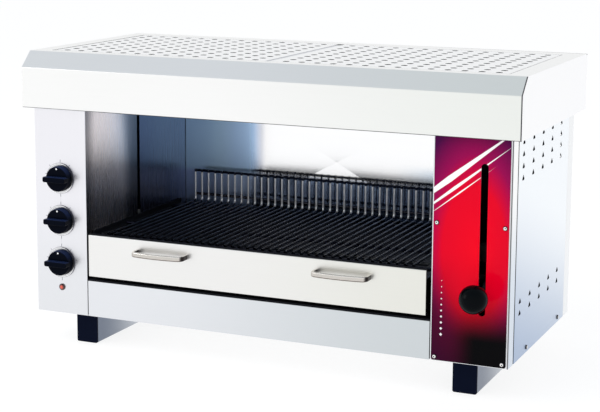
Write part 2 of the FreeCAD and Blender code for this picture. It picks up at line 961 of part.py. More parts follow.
def guide_brackets():
    """The lower and the upper bracket that hold each guide rod."""
    front = guide_y - block_depth / 2
    low = block_bottom - slide_gap
    high = block_top + lift_travel + slide_gap
    solids = []
    for side in (-1, 1):
        x = rod_offset(side)
        reach = x + block_width / 2
        lower = folded_sheet([(reach, low), (0, low), (0, low - bracket_leg)], bracket_sheet, "XZ",
                             front, front + block_depth)
        upper = folded_sheet([(0, body_top + side_wall_rise), (0, high), (reach, high)], bracket_sheet,
                             "XZ", front, front + bracket_depth)
        hole = rod(Vector(x, guide_y, 0), Vector(x, guide_y, hood_top), rod_diameter + turn_gap * 2)
        spring_x, spring_y = spring_place(side)
        spring_hole = rod(Vector(spring_x, spring_y, block_top), Vector(spring_x, spring_y, hood_top),
                          spring_diameter + spring_hole_gap * 2)
        solids.append(beside_wall(lower.cut(hole), side))
        solids.append(beside_wall(upper.cut(hole).cut(spring_hole), side))
    return Part.makeCompound(solids)


def spring_place(side):
    """Where a spring hangs, outward from the wall and along Y."""
    y = guide_y + block_depth / 2 + lug_length - lug_width / 2
    return (rod_offset(side) - spring_offset, y)


def spring_hangers():
    """A folded strap on each upper bracket, which holds the top of the spring."""
    foot = block_top + lift_travel + slide_gap + bracket_sheet
    top = foot + hanger_height
    start = fold_radius + bracket_sheet
    straps = []
    for side in (-1, 1):
        x, y = spring_place(side)
        end = x + spring_diameter / 2 + hanger_over
        path = [(end, top), (start, top), (start, foot), (start + hanger_foot, foot)]
        strap = folded_sheet(path, hanger_plate, "XZ", y - hanger_width / 2, y + hanger_width / 2)
        straps.append(beside_wall(strap, side))
    return Part.makeCompound(straps)


def spring_ends():
    """The heights of the spring's lower and upper end with the rack down."""
    top = block_top + lift_travel + slide_gap + bracket_sheet + hanger_height - hanger_plate
    return (block_bottom + lug_rise + lug_thickness, top)


def lift_spring(side):
    """The counterbalance spring, as a plain sleeve of the coil's outer size."""
    low, high = spring_ends()
    x, y = spring_place(side)
    outer = rod(Vector(x, y, low), Vector(x, y, high), spring_diameter)
    bore = rod(Vector(x, y, low), Vector(x, y, high), spring_bore)
    return beside_wall(outer.cut(bore), side)


def slider(side):
    """A block on the guide rod, with the tab that reaches through the slit to the rail."""
    centre = rod_offset(side)
    x0 = centre - block_width / 2
    x1 = centre + block_width / 2
    y0 = guide_y - block_depth / 2
    y1 = guide_y + block_depth / 2
    block = box(x0, x1, y0, y1, block_bottom, block_top)
    reach = -chamber_sheet - rail_gap
    tab = box(reach, x0, guide_y - tab_thickness / 2, guide_y + tab_thickness / 2,
              tab_bottom, tab_bottom + tab_height)
    lug_x = spring_place(side)[0]
    lug_z = block_bottom + lug_rise
    lug = box(lug_x - lug_width / 2, lug_x + lug_width / 2, y1, y1 + lug_length,
              lug_z, lug_z + lug_thickness)
    bore = rod(Vector(centre, guide_y, 0), Vector(centre, guide_y, block_top + cut_over),
               rod_diameter + turn_gap * 2)
    return beside_wall(joined([block, tab, lug]).cut(bore), side)


def lever_arm():
    """The flat arm from the right slider to the front, with the stud through the slot."""
    x0 = slot_x - arm_thickness / 2
    x1 = slot_x + arm_thickness / 2
    low = lever_height - arm_height / 2
    arm = box(x0, x1, arm_front, guide_y + block_depth / 2, low, low + arm_height)
    arm = rounded(arm, arm_height / 3, lambda edge: runs_along(edge, 0) and edge.CenterOfMass.y < guide_y)
    tip = ball_y + ball_diameter / 2 - ball_bore_depth + slide_gap
    stud = rod(Vector(slot_x, arm_front, lever_height), Vector(slot_x, tip, lever_height), stud_diameter)
    return joined([arm, stud])


def ball_knob():
    centre = Vector(slot_x, ball_y, lever_height)
    radius = ball_diameter / 2
    ball = Part.makeSphere(radius, centre)
    flat = ball_y + math.sqrt(radius ** 2 - (ball_flat_diameter / 2) ** 2)
    ball = ball.cut(box(slot_x - radius, slot_x + radius, flat, flat + radius,
                        lever_height - radius, lever_height + radius))
    bottom = ball_y + radius - ball_bore_depth
    bore = rod(Vector(slot_x, bottom, lever_height), Vector(slot_x, flat + cut_over, lever_height),
               stud_diameter + turn_gap * 2)
    return ball.cut(bore)


# Carriage and rack


def carriage_rails():
    """An angle at each side of the chamber. The rack's cross wires lie on the foot of each."""
    low = rail_seat - rail_sheet
    left = opening_left + rail_gap
    right = opening_right - rail_gap
    high = rail_seat + rail_upstand
    left_path = [(left, high), (left, low), (left + rail_leg, low)]
    right_path = [(right - rail_leg, low), (right, low), (right, high)]
    paths = (left_path, right_path)
    return [folded_sheet(path, rail_sheet, "XZ", rail_front, rail_back) for path in paths]


def carriage_bars():
    """The flat bars under the rails that tie the two sides of the carriage."""
    top = rail_seat - rail_sheet
    left = opening_left + rail_gap + rail_sheet
    right = opening_right - rail_gap - rail_sheet
    bars = []
    for y in (rail_front + cross_bar_front_inset, rail_back - cross_bar_rear_inset):
        bars.append(box(left, right, y, y + cross_bar_depth, top - cross_bar_thickness, top))
    return bars


def rack_bar_places():
    return [rack_left + bar_pitch * i for i in range(bar_gaps + 1)]


def rack_grid():
    """The level part of the rack: bars from front to back, welded on cross wires."""
    solids = []
    bend_start = fence_y - fence_bend
    for x in rack_bar_places():
        start = Vector(x, rack_front, bar_height)
        solids.append(rod(start, Vector(x, bend_start, bar_height), bar_diameter))
    z = bar_height - bar_diameter / 2 - cross_wire_diameter / 2 + weld_sink
    inset = rail_gap + rail_sheet + rack_end_gap
    first = rack_front + front_wire_inset
    last = fence_y - rear_wire_inset
    for y in (first, first + (last - first) * middle_wire_share, last):
        start = Vector(opening_left + inset, y, z)
        solids.append(rod(start, Vector(opening_right - inset, y, z), cross_wire_diameter))
    return joined(solids)


def rack_fence():
    """The bars' rear ends, bent up behind the food, with a rail behind their feet and tips."""
    solids = []
    high = bar_height + fence_height
    points = [(fence_y - fence_bend, bar_height), (fence_y, bar_height), (fence_y, high)]
    for x in rack_bar_places():
        wire = bent_wire(points, [0, fence_bend - fence_bend_start, 0], "YZ", bar_diameter)
        wire.translate(Vector(x, 0, 0))
        solids.append(wire)
    rail_y = fence_y + bar_diameter / 2 + fence_rail_diameter / 2 - weld_sink
    low = bar_height + fence_bend + fence_rail_diameter
    for z in (low, high - fence_rail_diameter / 2):
        start = Vector(rack_left - fence_rail_diameter / 2, rail_y, z)
        end = Vector(rack_right + fence_rail_diameter / 2, rail_y, z)
        solids.append(rod(start, end, fence_rail_diameter))
    return joined(solids)


# Drip tray


def tray_left():
    return opening_left + tray_side_gap


def tray_right():
    return opening_right - tray_right_gap


def tray_runners():
    """The two angles that the tray slides on."""
    low = pan_bottom - slide_gap - runner_sheet
    high = low + runner_upstand
    left_path = [(opening_left, high), (opening_left, low), (opening_left + runner_leg, low)]
    right_path = [(opening_right - runner_leg, low), (opening_right, low), (opening_right, high)]
    solids = []
    for path in (left_path, right_path):
        solids.append(folded_sheet(path, runner_sheet, "XZ", runner_front, back_face - runner_rear_gap))
    return Part.makeCompound(solids)


def handle_places():
    middle = (tray_left() + tray_right()) / 2
    half = (tray_right() - tray_left()) * handle_spacing_share / 2
    return [middle - half, middle + half]


def handle_screw_places():
    half = handle_span / 2 - handle_section_depth / 2
    return [x + side * half for x in handle_places() for side in (-1, 1)]


def tray_screw_holes():
    start = -tray_stand_off - handle_screw_depth
    end = -tray_stand_off + sheet * 4
    holes = []
    for x in handle_screw_places():
        holes.append(rod(Vector(x, start, handle_height), Vector(x, end, handle_height),
                         screw_shank + turn_gap * 2))
    return Part.makeCompound(holes)


def tray_front():
    face = -tray_stand_off
    path = [
        (face + tray_flange, tray_front_top),
        (face, tray_front_top),
        (face, tray_front_bottom),
        (face + tray_flange, tray_front_bottom),
    ]
    return folded_sheet(path, sheet, "YZ", tray_left(), tray_right()).cut(tray_screw_holes())


def pan_block(low, high):
    """A block as wide and as deep as the pan, from one height to another."""
    left = tray_left() + pan_side_inset
    right = tray_right() - pan_side_inset
    return box(left, right, sheet - tray_stand_off, pan_back, low, high)


def tray_pan():
    """The flat sheet that catches the drips."""
    return pan_block(pan_bottom, pan_bottom + pan_sheet)


def tray_walls():
    """The front, back and two end walls that stand round the pan's sheet."""
    block = pan_block(pan_bottom + pan_sheet, pan_top)
    outline = block.BoundBox
    low, high = outline.ZMin, outline.ZMax
    front = outline.YMin + pan_sheet
    back = outline.YMax - pan_sheet
    walls = [
        box(outline.XMin, outline.XMax, outline.YMin, front, low, high).cut(tray_screw_holes()),
        box(outline.XMin, outline.XMax, back, outline.YMax, low, high),
        box(outline.XMin, outline.XMin + pan_sheet, front, back, low, high),
        box(outline.XMax - pan_sheet, outline.XMax, front, back, low, high),
    ]
    return Part.makeCompound(walls)


def tray_handle(x):
    """A bowed handle whose two ends stand on the tray's front."""
    face = -tray_stand_off
    half = handle_span / 2
    path = [
        (x - half, face),
        (x - half, face - handle_reach),
        (x, face - handle_reach - handle_bow),
        (x + half, face - handle_reach),
        (x + half, face),
    ]
    inner_radius = handle_corner - handle_section_depth
    slope = math.atan2(handle_bow, half)
    corner_run = handle_corner * math.tan((math.pi / 2 - slope) / 2)
    bow_run = (math.hypot(half, handle_bow) - corner_run) * handle_bow_share
    bow_radius = bow_run / math.tan(slope) - handle_section_depth
    radii = [0, inner_radius, bow_radius, inner_radius, 0]
    low = handle_height - handle_section_height / 2
    bow = folded_sheet(path, handle_section_depth, "XY", low, low + handle_section_height, radii)
    bow = rounded(bow, handle_round, lambda edge: edge.BoundBox.ZLength < handle_round / 8
                  and abs(edge.CenterOfMass.y - face) > handle_round / 8)
    return bow.cut(tray_screw_holes())


def handle_screws():
    """Pan head screws from inside the tray into the ends of the handles."""
    screws = []
    seat = -tray_stand_off + sheet + pan_sheet
    for x in handle_screw_places():
        start = Vector(x, seat, handle_height)
        end = Vector(x, -tray_stand_off - handle_screw_depth + slide_gap, handle_height)
        head = rod(start, start + Vector(0, screw_head_height, 0), screw_head)
        screws.append(joined([head, rod(start, end, screw_shank)]))
    return Part.makeCompound(screws)


# Mains inlet


def hexagon(centre, across, y0, y1):
    step = math.pi / 3
    radius = across / 2 / math.cos(step / 2)
    corners = []
    for i in range(6):
        angle = step * i
        corners.append((centre.x + radius * math.cos(angle), centre.z + radius * math.sin(angle)))
    return outline_solid(corners, 0, "XZ", y0, y1)


def cable_gland():
    """The gland in the back panel, with its nut inside. The bore takes the mains lead."""
    centre = Vector(gland_x, 0, gland_height)

    def disc(y0, y1, diameter):
        return rod(centre + Vector(0, y0, 0), centre + Vector(0, y1, 0), diameter)

    back = body_depth
    flange = hexagon(centre, gland_flats, back, back + gland_flange)
    end = back + gland_flange + gland_nose
    nose = disc(back + gland_flange, end, gland_thread)
    nose = rounded(nose, gland_nose / 3, lambda edge: edge.CenterOfMass.y > end - gland_nose / 2
                   and len(edge.Vertexes) == 1)
    thread = disc(back - sheet - gland_inside, back, gland_thread)
    nut = hexagon(centre, gland_flats, back - sheet - gland_nut, back - sheet)
    bore = disc(back - sheet - gland_inside - cut_over, end + cut_over, gland_bore)
    return joined([flange, nose, thread, nut]).cut(bore)


def terminal_block():
    """The block on the housing's floor where the lead would be wired up."""
    x0 = right_side - terminal_block_inset - terminal_block_length / 2
    y1 = body_depth - terminal_block_rear_gap
    y0 = y1 - terminal_block_depth
    block = box(x0, x0 + terminal_block_length, y0, y1, sheet, sheet + terminal_block_height)
    step = terminal_block_length / terminal_posts
    wells = []
    for i in range(terminal_posts):
        top = Vector(x0 + step * (i + 1 / 2), (y0 + y1) / 2, sheet + terminal_block_height)
        wells.append(rod(top + Vector(0, 0, cut_over), top - Vector(0, 0, terminal_block_height / 2),
                         step * terminal_post_share))
    return block.cut(Part.makeCompound(wells))


def build():
    keep("base_pan", base_pan())
    keep("control_front", control_front())
    keep("right_front", right_front())
    keep("decorated_plate", decorated_plate())
    keep("plate_screws", Part.makeCompound([pan_head_screw(*spot) for spot in plate_screw_spots()]))
    keep("lower_front", lower_front())
    keep("left_cover", side_cover(-1))
    keep("right_cover", side_cover(1))
    keep("cover_screws", Part.makeCompound([pan_head_screw(*spot) for spot in cover_screw_spots()]))
    keep("back_panel", back_panel())
    keep("hood_shell", hood_shell())
    keep("vent_frame", vent_frame())
    keep("vent_panel_left", vent_panel(-1))
    keep("vent_panel_right", vent_panel(1))
    keep("chamber_left_wall", side_wall(inner_left, opening_left))
    keep("chamber_right_wall", side_wall(opening_right, inner_right))
    keep("chamber_back", chamber_back())
    keep("chamber_floor", chamber_floor())
    keep("reflector", reflector())
    legs = element_leg_places()
    for i, place in enumerate(("front", "middle", "rear")):
        keep("element_" + place, heating_element(legs[i * 2]))
    keep("element_hangers", element_hangers())
    keep("foot_left", foot_tube(-1))
    keep("foot_right", foot_tube(1))
    keep("foot_caps", foot_caps())
    for name, z in zip(control_names, control_heights()):
        keep("switch_" + name, switch(z))
        keep("spindle_" + name, spindle(z))
        keep("knob_" + name, knob(z))
    keep("dial_rings", Part.makeCompound([dial_ring(z) for z in control_heights()]))
    keep("pilot_lens", pilot_lens())
    keep("pilot_body", pilot_body())
    keep("guide_rod_left", guide_rod(-1))
    keep("guide_rod_right", guide_rod(1))
    keep("guide_brackets", guide_brackets())
    keep("spring_hangers", spring_hangers())
    keep("spring_left", lift_spring(-1))
    keep("spring_right", lift_spring(1))
    keep("slider_left", slider(-1))
    keep("slider_right", slider(1))
    keep("lever_arm", lever_arm())
    keep("ball_knob", ball_knob())
    keep("carriage_frame", joined(carriage_rails() + carriage_bars()))
    keep("rack_grid", rack_grid())
    keep("rack_fence", rack_fence())
    keep("tray_runners", tray_runners())
    keep("tray_front", tray_front())
    keep("tray_pan", tray_pan())
    keep("tray_walls", tray_walls())
    for side, x in zip(("left", "right"), handle_places()):
        keep("tray_handle_" + side, tray_handle(x))
    keep("handle_screws", handle_screws())
    keep("cable_gland", cable_gland())
    keep("terminal_block", terminal_block())


build()
os.makedirs("parts", exist_ok=True)
for name, shape in pieces.items():
    shape.translate(origin_shift)
    shape.exportStep("parts/" + name + ".step")
print(len(pieces), "pieces written")
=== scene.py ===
"""Looks for the countertop grill: finishes, camera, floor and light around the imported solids.

Everything is in metres in the frame of the solids: X to the right, -Y towards the user, Z up.
"""

from math import cos, radians, sin

import bpy
from mathutils import Matrix, Vector

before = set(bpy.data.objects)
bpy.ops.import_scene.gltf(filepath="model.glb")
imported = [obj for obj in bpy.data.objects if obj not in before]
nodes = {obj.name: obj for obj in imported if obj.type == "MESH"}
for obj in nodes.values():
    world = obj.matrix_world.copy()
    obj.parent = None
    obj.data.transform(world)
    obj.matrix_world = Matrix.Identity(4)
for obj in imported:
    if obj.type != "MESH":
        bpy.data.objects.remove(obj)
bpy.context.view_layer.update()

MM = 0.001


def mm(*sizes):
    """Sizes in metres from sizes in millimetres."""
    return tuple(size * MM for size in sizes)


def beside(place, *sizes):
    """Places in metres that lie so many millimetres beside a place."""
    return tuple(place + size * MM for size in sizes)


class Box:
    """Where the six sides of a CAD node are at rest, and its middle."""

    def __init__(self, name):
        across, along, up = zip(*(vertex.co for vertex in nodes[name].data.vertices))
        self.left, self.right = min(across), max(across)
        self.front, self.back = min(along), max(along)
        self.low, self.high = min(up), max(up)
        self.mid_x = (self.left + self.right) / 2
        self.mid_y = (self.front + self.back) / 2
        self.mid_z = (self.low + self.high) / 2


# Finishes


class Value:
    """What one socket of a finish gives. Sums and products of it add the nodes that work them out."""

    def __init__(self, finish, socket):
        self.finish = finish
        self.socket = socket

    def maths(self, operation, first, second):
        return self.finish.node("ShaderNodeMath", {"operation": operation}, {0: first, 1: second})

    def __add__(self, other):
        return self.maths("ADD", self, other)

    def __radd__(self, other):
        return self.maths("ADD", other, self)

    def __sub__(self, other):
        return self.maths("SUBTRACT", self, other)

    def __rsub__(self, other):
        return self.maths("SUBTRACT", other, self)

    def __mul__(self, other):
        return self.maths("MULTIPLY", self, other)

    def __rmul__(self, other):
        return self.maths("MULTIPLY", other, self)

    def __truediv__(self, other):
        return self.maths("DIVIDE", self, other)

    def __pow__(self, other):
        return self.maths("POWER", self, other)

    def __abs__(self):
        return self.maths("ABSOLUTE", self, 0.0)

    def over(self, other):
        """The larger of the two."""
        return self.maths("MAXIMUM", self, other)

    def under(self, other):
        """The smaller of the two."""
        return self.maths("MINIMUM", self, other)

    def rise(self, low, high):
        """0 up to low, 1 from high on, and smooth between them. With high below low it falls instead."""
        settings = {"interpolation_type": "SMOOTHSTEP"}
        if low < high:
            sockets = {0: self, 1: low, 2: high, 3: 0.0, 4: 1.0}
        else:
            sockets = {0: self, 1: high, 2: low, 3: 1.0, 4: 0.0}
        return self.finish.node("ShaderNodeMapRange", settings, sockets)

    def between(self, low, high, soft):
        """1 between two places and 0 outside them, with soft edges that lie between them."""
        return self.rise(low, low + soft) * self.rise(high, high - soft)

    def swing(self, least, spread):
        """Least where this noise is 0, and more by the spread where it is 1."""
        return least + spread * self

    def fold(self, pitch):
        """The signed distance from the nearest whole number of pitches."""
        return self.maths("SUBTRACT", self, self.maths("SNAP", self + pitch / 2, pitch))


def distance(first, second):
    """How far a point is from the middle that both values are measured from."""
    return (first * first + second * second) ** 0.5


INSIDE_EDGE = mm(0.5, -0.5)
SEED_STEPS = (1.0, 1.7, 2.3)
FINE_DETAIL, PLAIN_DETAIL, BROAD_DETAIL = 3.0, 2.0, 1.0


class Finish:
    """A material, built node by node, with its surface set by paint()."""

    def __init__(self, name):
        self.material = bpy.data.materials.new(name)
        self.material.use_nodes = True
        self.tree = self.material.node_tree
        self.tree.nodes.clear()
        self.point = self.node("ShaderNodeTexCoord", output="Object")
        self.x, self.y, self.z = self.parts(self.point)
        self.facing = self.node("ShaderNodeTexCoord", output="Normal")
        self.face_x, self.face_y, self.face_z = self.parts(self.facing)

    def node(self, kind, settings=(), sockets=(), output=0):
        """Adds a node, sets it, then fills its sockets with numbers, colours or links."""
        made = self.tree.nodes.new(kind)
        for name, value in dict(settings).items():
            if name == "stops":
                ramp = made.color_ramp
                while len(ramp.elements) < len(value):
                    ramp.elements.new(1.0)
                for element, (place, colour) in zip(ramp.elements, value):
                    element.position = place
                    element.color = colour
            else:
                setattr(made, name, value)
        for name, value in dict(sockets).items():
            if isinstance(value, Value):
                self.tree.links.new(value.socket, made.inputs[name])
            else:
                made.inputs[name].default_value = value
        return Value(self, made.outputs[output])

    def parts(self, vector):
        """The X, Y and Z of a vector."""
        first = self.node("ShaderNodeSeparateXYZ", (), {0: vector})
        return [Value(self, socket) for socket in first.socket.node.outputs]

    def inside(self, point):
        """1 on the faces that look towards a point and 0 on those that look away from it."""
        ahead = self.node("ShaderNodeVectorMath", {"operation": "SUBTRACT"}, {0: self.point, 1: point})
        away = self.node("ShaderNodeVectorMath", {"operation": "DOT_PRODUCT"},
                         {0: ahead, 1: self.facing}, output="Value")
        return away.rise(*INSIDE_EDGE)

    def noise(self, per_metre, detail=PLAIN_DETAIL, seed=0.0):
        """Noise from 0 to 1 with so many waves in a metre along X, Y and Z."""
        settings = {"vector_type": "POINT"}
        sockets = {0: self.point, 1: tuple(seed * step for step in SEED_STEPS), 3: per_metre}
        spot = self.node("ShaderNodeMapping", settings, sockets)
        return self.node("ShaderNodeTexNoise", (), {"Vector": spot, "Scale": 1.0, "Detail": detail})

    def mix(self, share, first, second):
        """A colour from the first one at share 0 to the second one at share 1."""
        settings = {"data_type": "RGBA", "clamp_factor": True}
        return self.node("ShaderNodeMix", settings, {0: share, 6: first, 7: second}, output=2)

    def shade(self, colour, factor):
        """A colour with all of its parts multiplied by a number that changes over the surface."""
        first = colour if isinstance(colour, Value) else colour[:3]
        return self.node("ShaderNodeVectorMath", {"operation": "SCALE"}, {0: first, "Scale": factor})

    def ramp(self, share, stops):
        """The colour that a row of stops has at a share."""
        return self.node("ShaderNodeValToRGB", {"stops": stops}, {0: share})

    def bump(self, height, depth, strength):
        """The surface's direction with a relief of so much depth in it."""
        sockets = {"Height": height, "Distance": depth, "Strength": strength}
        return self.node("ShaderNodeBump", (), sockets)

    def paint(self, **sockets):
        """Joins the shader up. The names are the shader's sockets with _ for a space."""
        named = {name.replace("_", " "): value for name, value in sockets.items()}
        shader = self.node("ShaderNodeBsdfPrincipled", (), named)
        end = self.tree.nodes.new("ShaderNodeOutputMaterial")
        self.tree.links.new(shader.socket, end.inputs[0])
        return self

    def wear(self, *names):
        """Puts this finish on CAD nodes."""
        for name in names:
            for slot in nodes[name].material_slots:
                slot.material = self.material


def rgb(red, green, blue):
    """A linear colour from screen values of 0 to 255."""
    return tuple((((c / 255) + 0.055) / 1.055) ** 2.4 if c > 10 else c / 255 / 12.92
                 for c in (red, green, blue)) + (1.0,)


# Tones that several finishes share, most of them painted shade: on inside faces, in open seams and on
# folds. The painted shade of inside faces and seams doesn't shine.

WHITE = (1.0, 1.0, 1.0, 1.0)
INSIDE_SHADE = (0.012, 0.013, 0.017, 1.0)
SEAM_SHADE = (0.06, 0.06, 0.07, 1.0)
FOLD_SHADE = (0.10, 0.10, 0.11, 1.0)
DULL_SHADES = (INSIDE_SHADE, SEAM_SHADE)

# Plain metal's waves in a metre, and the relief that the noises press into a surface

METAL_WAVES = (400.0, 400.0, 400.0)
METAL_DEPTH, SKIN_DEPTH = mm(0.01, 0.02)
METAL_STRENGTH, POLISHED_STRENGTH, SKIN_STRENGTH, ENAMEL_STRENGTH = 0.4, 0.3, 0.5, 0.2


# Brushed sheet steel. Its grain is given in waves in a metre.

GRAIN_WAVES, LONG_WAVES = 1500.0, 14.0
CLOUD_WAVES = 3.0
LONG_CLOUD_SHARE = 1 / 6
ALONG_X = (LONG_WAVES, GRAIN_WAVES, GRAIN_WAVES)
ALONG_Y = (GRAIN_WAVES, LONG_WAVES, GRAIN_WAVES)
ALONG_Z = (GRAIN_WAVES, GRAIN_WAVES, LONG_WAVES)
GRAIN_DEPTH = 0.02 * MM
GRAIN_STRENGTH = 0.35
STEEL_SPECULAR = 0.1
ROUGH_BELOW, ROUGH_BY_LINES, ROUGH_BY_CLOUDS = 0.05, 0.07, 0.05
TONE_LEAST, TONE_BY_LINES, TONE_BY_CLOUDS = 0.955, 0.03, 0.03
DULL_ROUGHER, ROUGH_MOST = 0.6, 0.9
CLOUD_SEED_STEP = 4


def steel_roughness(rough, lines, clouds):
    """Roughness round a middle value, rougher on some grain lines and in some clouds."""
    return rough - ROUGH_BELOW + ROUGH_BY_LINES * lines + ROUGH_BY_CLOUDS * clouds


def steel_tone(lines, clouds):
    """The share of its colour that grained steel shows."""
    return TONE_LEAST + TONE_BY_LINES * lines + TONE_BY_CLOUDS * clouds


def brushed_steel(name, grain, colour, rough, seed, zones=None, strength=GRAIN_STRENGTH, haze=None):
    """Satin sheet steel with fine grain one way and faint clouds, toned zone by zone.

    Zones takes the finish and gives pairs of a share and the colour that shades in by it; many of these
    zones paint light or shade. A zone with the painted shade of inside faces or seams shines no more
    either. Haze takes the finish too and gives what is added to the roughness.
    """
    finish = Finish(name)
    lines = finish.noise(grain, detail=FINE_DETAIL, seed=seed)
    cloud_waves = tuple(CLOUD_WAVES if waves == GRAIN_WAVES else waves * LONG_CLOUD_SHARE
                        for waves in grain)
    clouds = finish.noise(cloud_waves, detail=BROAD_DETAIL, seed=seed + CLOUD_SEED_STEP)
    base = colour
    metal = 1.0
    roughness = steel_roughness(rough, lines, clouds)
    if haze:
        roughness = roughness + haze(finish)
    for share, tone in zones(finish) if zones else ():
        base = finish.mix(share, base, tone)
        if tone in DULL_SHADES:
            metal = (metal - share).over(0.0)
            roughness = (roughness + share * DULL_ROUGHER).under(ROUGH_MOST)
    base = finish.shade(base, steel_tone(lines, clouds))
    return finish.paint(Base_Color=base, Metallic=metal, Roughness=roughness,
                        Normal=finish.bump(lines, GRAIN_DEPTH, strength),
                        Specular_IOR_Level=STEEL_SPECULAR)


# Limits on a face's direction along an axis. A zone's share is 0 at the first and 1 at the second.

FACES_FRONT = (-0.3, -0.5)
FACES_RIGHT = (0.3, 0.7)
FACES_DOWN = (-0.15, -0.5)
FACES_UP = (0.1, 0.4)
FACES_UNDER = (-0.4, -0.6)
NOT_LEVEL = (0.6, 0.4)
TURNS_RIGHT = (0.1, 0.3)
FULLY_RIGHT = (0.85, 0.97)


# The hood, the vents and the covers

HOOD = Box("hood_shell")
VENTS = Box("vent_panel_right")
COVER = Box("right_cover")

HOOD_SATIN = (0.915, 0.915, 0.905, 1.0)
HOOD_RIGHT_END = (0.84, 0.86, 0.825, 1.0)
# Painted light: the hood's right side is lighter than its front.
HOOD_SIDE_LIGHT = (0.97, 0.97, 0.98, 1.0)
HOOD_TONE_SHIFT = mm(-100, 450)
HOOD_CORNER_SEAM = beside(HOOD.right, -2.2, -1.6)
HOOD_LOWER_FOLD = beside(HOOD.low, 1.4, 0.9)
HOOD_REAR_FOLD = beside(HOOD.back, -5.5, -4.5)
HOOD_TOP_SKIN = beside(HOOD.high, -2.0, -1.5)
REAR_FOLD_START = mm(0, 300)
VENT_LINE_LEFT, VENT_LINE_RIGHT = beside(-VENTS.right, -3.2, -0.4)
VENT_LINE_SOFT = 0.4 * MM
VENT_LINE_SKIN = beside(HOOD.high, -3.5, -3.0)
VENT_LINE_FRONT, VENT_LINE_BACK = VENTS.front - 2.0 * MM, VENTS.back + 2.0 * MM
VENT_LINE_END_SOFT = 1.0 * MM
HOOD_INNER_POINT = mm(0, 30, 430)


def hood_zones(finish):
    """The front's tone shifts to the right, and the right side is painted lighter. Painted shade darkens
    the lower and rear folds, an open seam at a corner, a line beside the vents and the inner faces.
    """
    to_front = finish.face_y.rise(*FACES_FRONT)
    rear_fold = finish.y.rise(*HOOD_REAR_FOLD) * finish.z.rise(*HOOD_TOP_SKIN)
    vent_line_shade = (finish.x.between(VENT_LINE_LEFT, VENT_LINE_RIGHT, VENT_LINE_SOFT)
                 * finish.z.rise(*VENT_LINE_SKIN)
                 * finish.y.between(VENT_LINE_FRONT, VENT_LINE_BACK, VENT_LINE_END_SOFT))
    return ((finish.x.rise(*HOOD_TONE_SHIFT) * to_front, HOOD_RIGHT_END),
            (finish.face_x.rise(*FACES_RIGHT), HOOD_SIDE_LIGHT),
            (finish.z.rise(*HOOD_LOWER_FOLD) * to_front, FOLD_SHADE),
            (finish.x.rise(*HOOD_CORNER_SEAM) * to_front, SEAM_SHADE),
            (rear_fold * finish.x.rise(*REAR_FOLD_START), FOLD_SHADE),
            (vent_line_shade, INSIDE_SHADE),
            (finish.inside(HOOD_INNER_POINT), INSIDE_SHADE))


# Painted reflection: the covers run from blue low at the front to pale high at the back.
COVER_REFLECTION_BLUE = (0.38, 0.48, 0.65, 1.0)
COVER_REFLECTION_PALE = (0.93, 0.96, 0.99, 1.0)
COVER_CLIMB = mm(-20, 290)
COVER_SLANT = 0.35
COVER_INNER_FACE = beside(COVER.right, -0.2, -0.4)


def cover_zones(finish):
    """A painted reflection makes the covers blue low down at the front and pale high up at the back, and
    painted shade darkens their inner faces.
    """
    climb = (finish.z - COVER.low) + (finish.y - COVER.front) * COVER_SLANT
    return ((climb.rise(*COVER_CLIMB), COVER_REFLECTION_PALE),
            (abs(finish.x).rise(*COVER_INNER_FACE), INSIDE_SHADE))


VENT_SATIN = (0.96, 0.96, 0.96, 1.0)
VENT_EDGE = (0.66, 0.67, 0.70, 1.0)
VENT_PITCH_X, VENT_PITCH_Y = mm(25.9, 27.4)
VENT_FIRST_ROW = VENTS.front + 12.0 * MM
VENT_RIM = mm(5.4, 5.0)
FIELD_INNER_EDGE = beside(VENTS.left, 4.5, 6.5)
FIELD_OUTER_EDGE = beside(VENTS.right, -2.5, -4.0)
FIELD_HALF_DEPTH = beside((VENTS.back - VENTS.front) / 2, -2.0, -3.0)


def vent_zones(finish):
    """Painted shade: the walls of the holes and a fine rim round them are dark, and so is the underside.
    """
    in_field = abs(finish.x).rise(*FIELD_INNER_EDGE) * abs(finish.x).rise(*FIELD_OUTER_EDGE)
    in_field = in_field * abs(finish.y - VENTS.mid_y).rise(*FIELD_HALF_DEPTH)
    wall = abs(finish.face_z).rise(*NOT_LEVEL)
    across, along = finish.x.fold(VENT_PITCH_X), (finish.y - VENT_FIRST_ROW).fold(VENT_PITCH_Y)
    rim = distance(across, along).rise(*VENT_RIM) * in_field
    return ((rim, INSIDE_SHADE), (wall, VENT_EDGE), (wall * in_field, INSIDE_SHADE),
            (finish.face_z.rise(*FACES_UNDER), INSIDE_SHADE))


VENT_FRAME_SATIN = (0.93, 0.93, 0.93, 1.0)
VENT_FRAME_LEFT_EDGE = beside(-VENTS.right, 1.0, 0.2)


def vent_frame_zones(finish):
    """Painted shade: the frame under the vents is dark on its edges and at its left."""
    return ((finish.face_z.rise(*NOT_LEVEL), INSIDE_SHADE),
            (finish.x.rise(*VENT_FRAME_LEFT_EDGE), INSIDE_SHADE))


# The front and the housing's other panels

TRAY = Box("tray_front")
APRON = Box("lower_front")

COLUMN_SATIN = (0.80, 0.815, 0.84, 1.0)
# Painted shade at the folded corner, and a painted reflection on the side, palest high up.
COLUMN_CORNER_SHADE = (0.16, 0.16, 0.17, 1.0)
COLUMN_SIDE_REFLECTION_LOW = (0.68, 0.74, 0.82, 1.0)
COLUMN_SIDE_REFLECTION_HIGH = (0.97, 0.97, 0.97, 1.0)
COLUMN_SIDE_CLIMB = mm(150, 330)
COLUMN_INNER_POINT = mm(340, 0, 230)


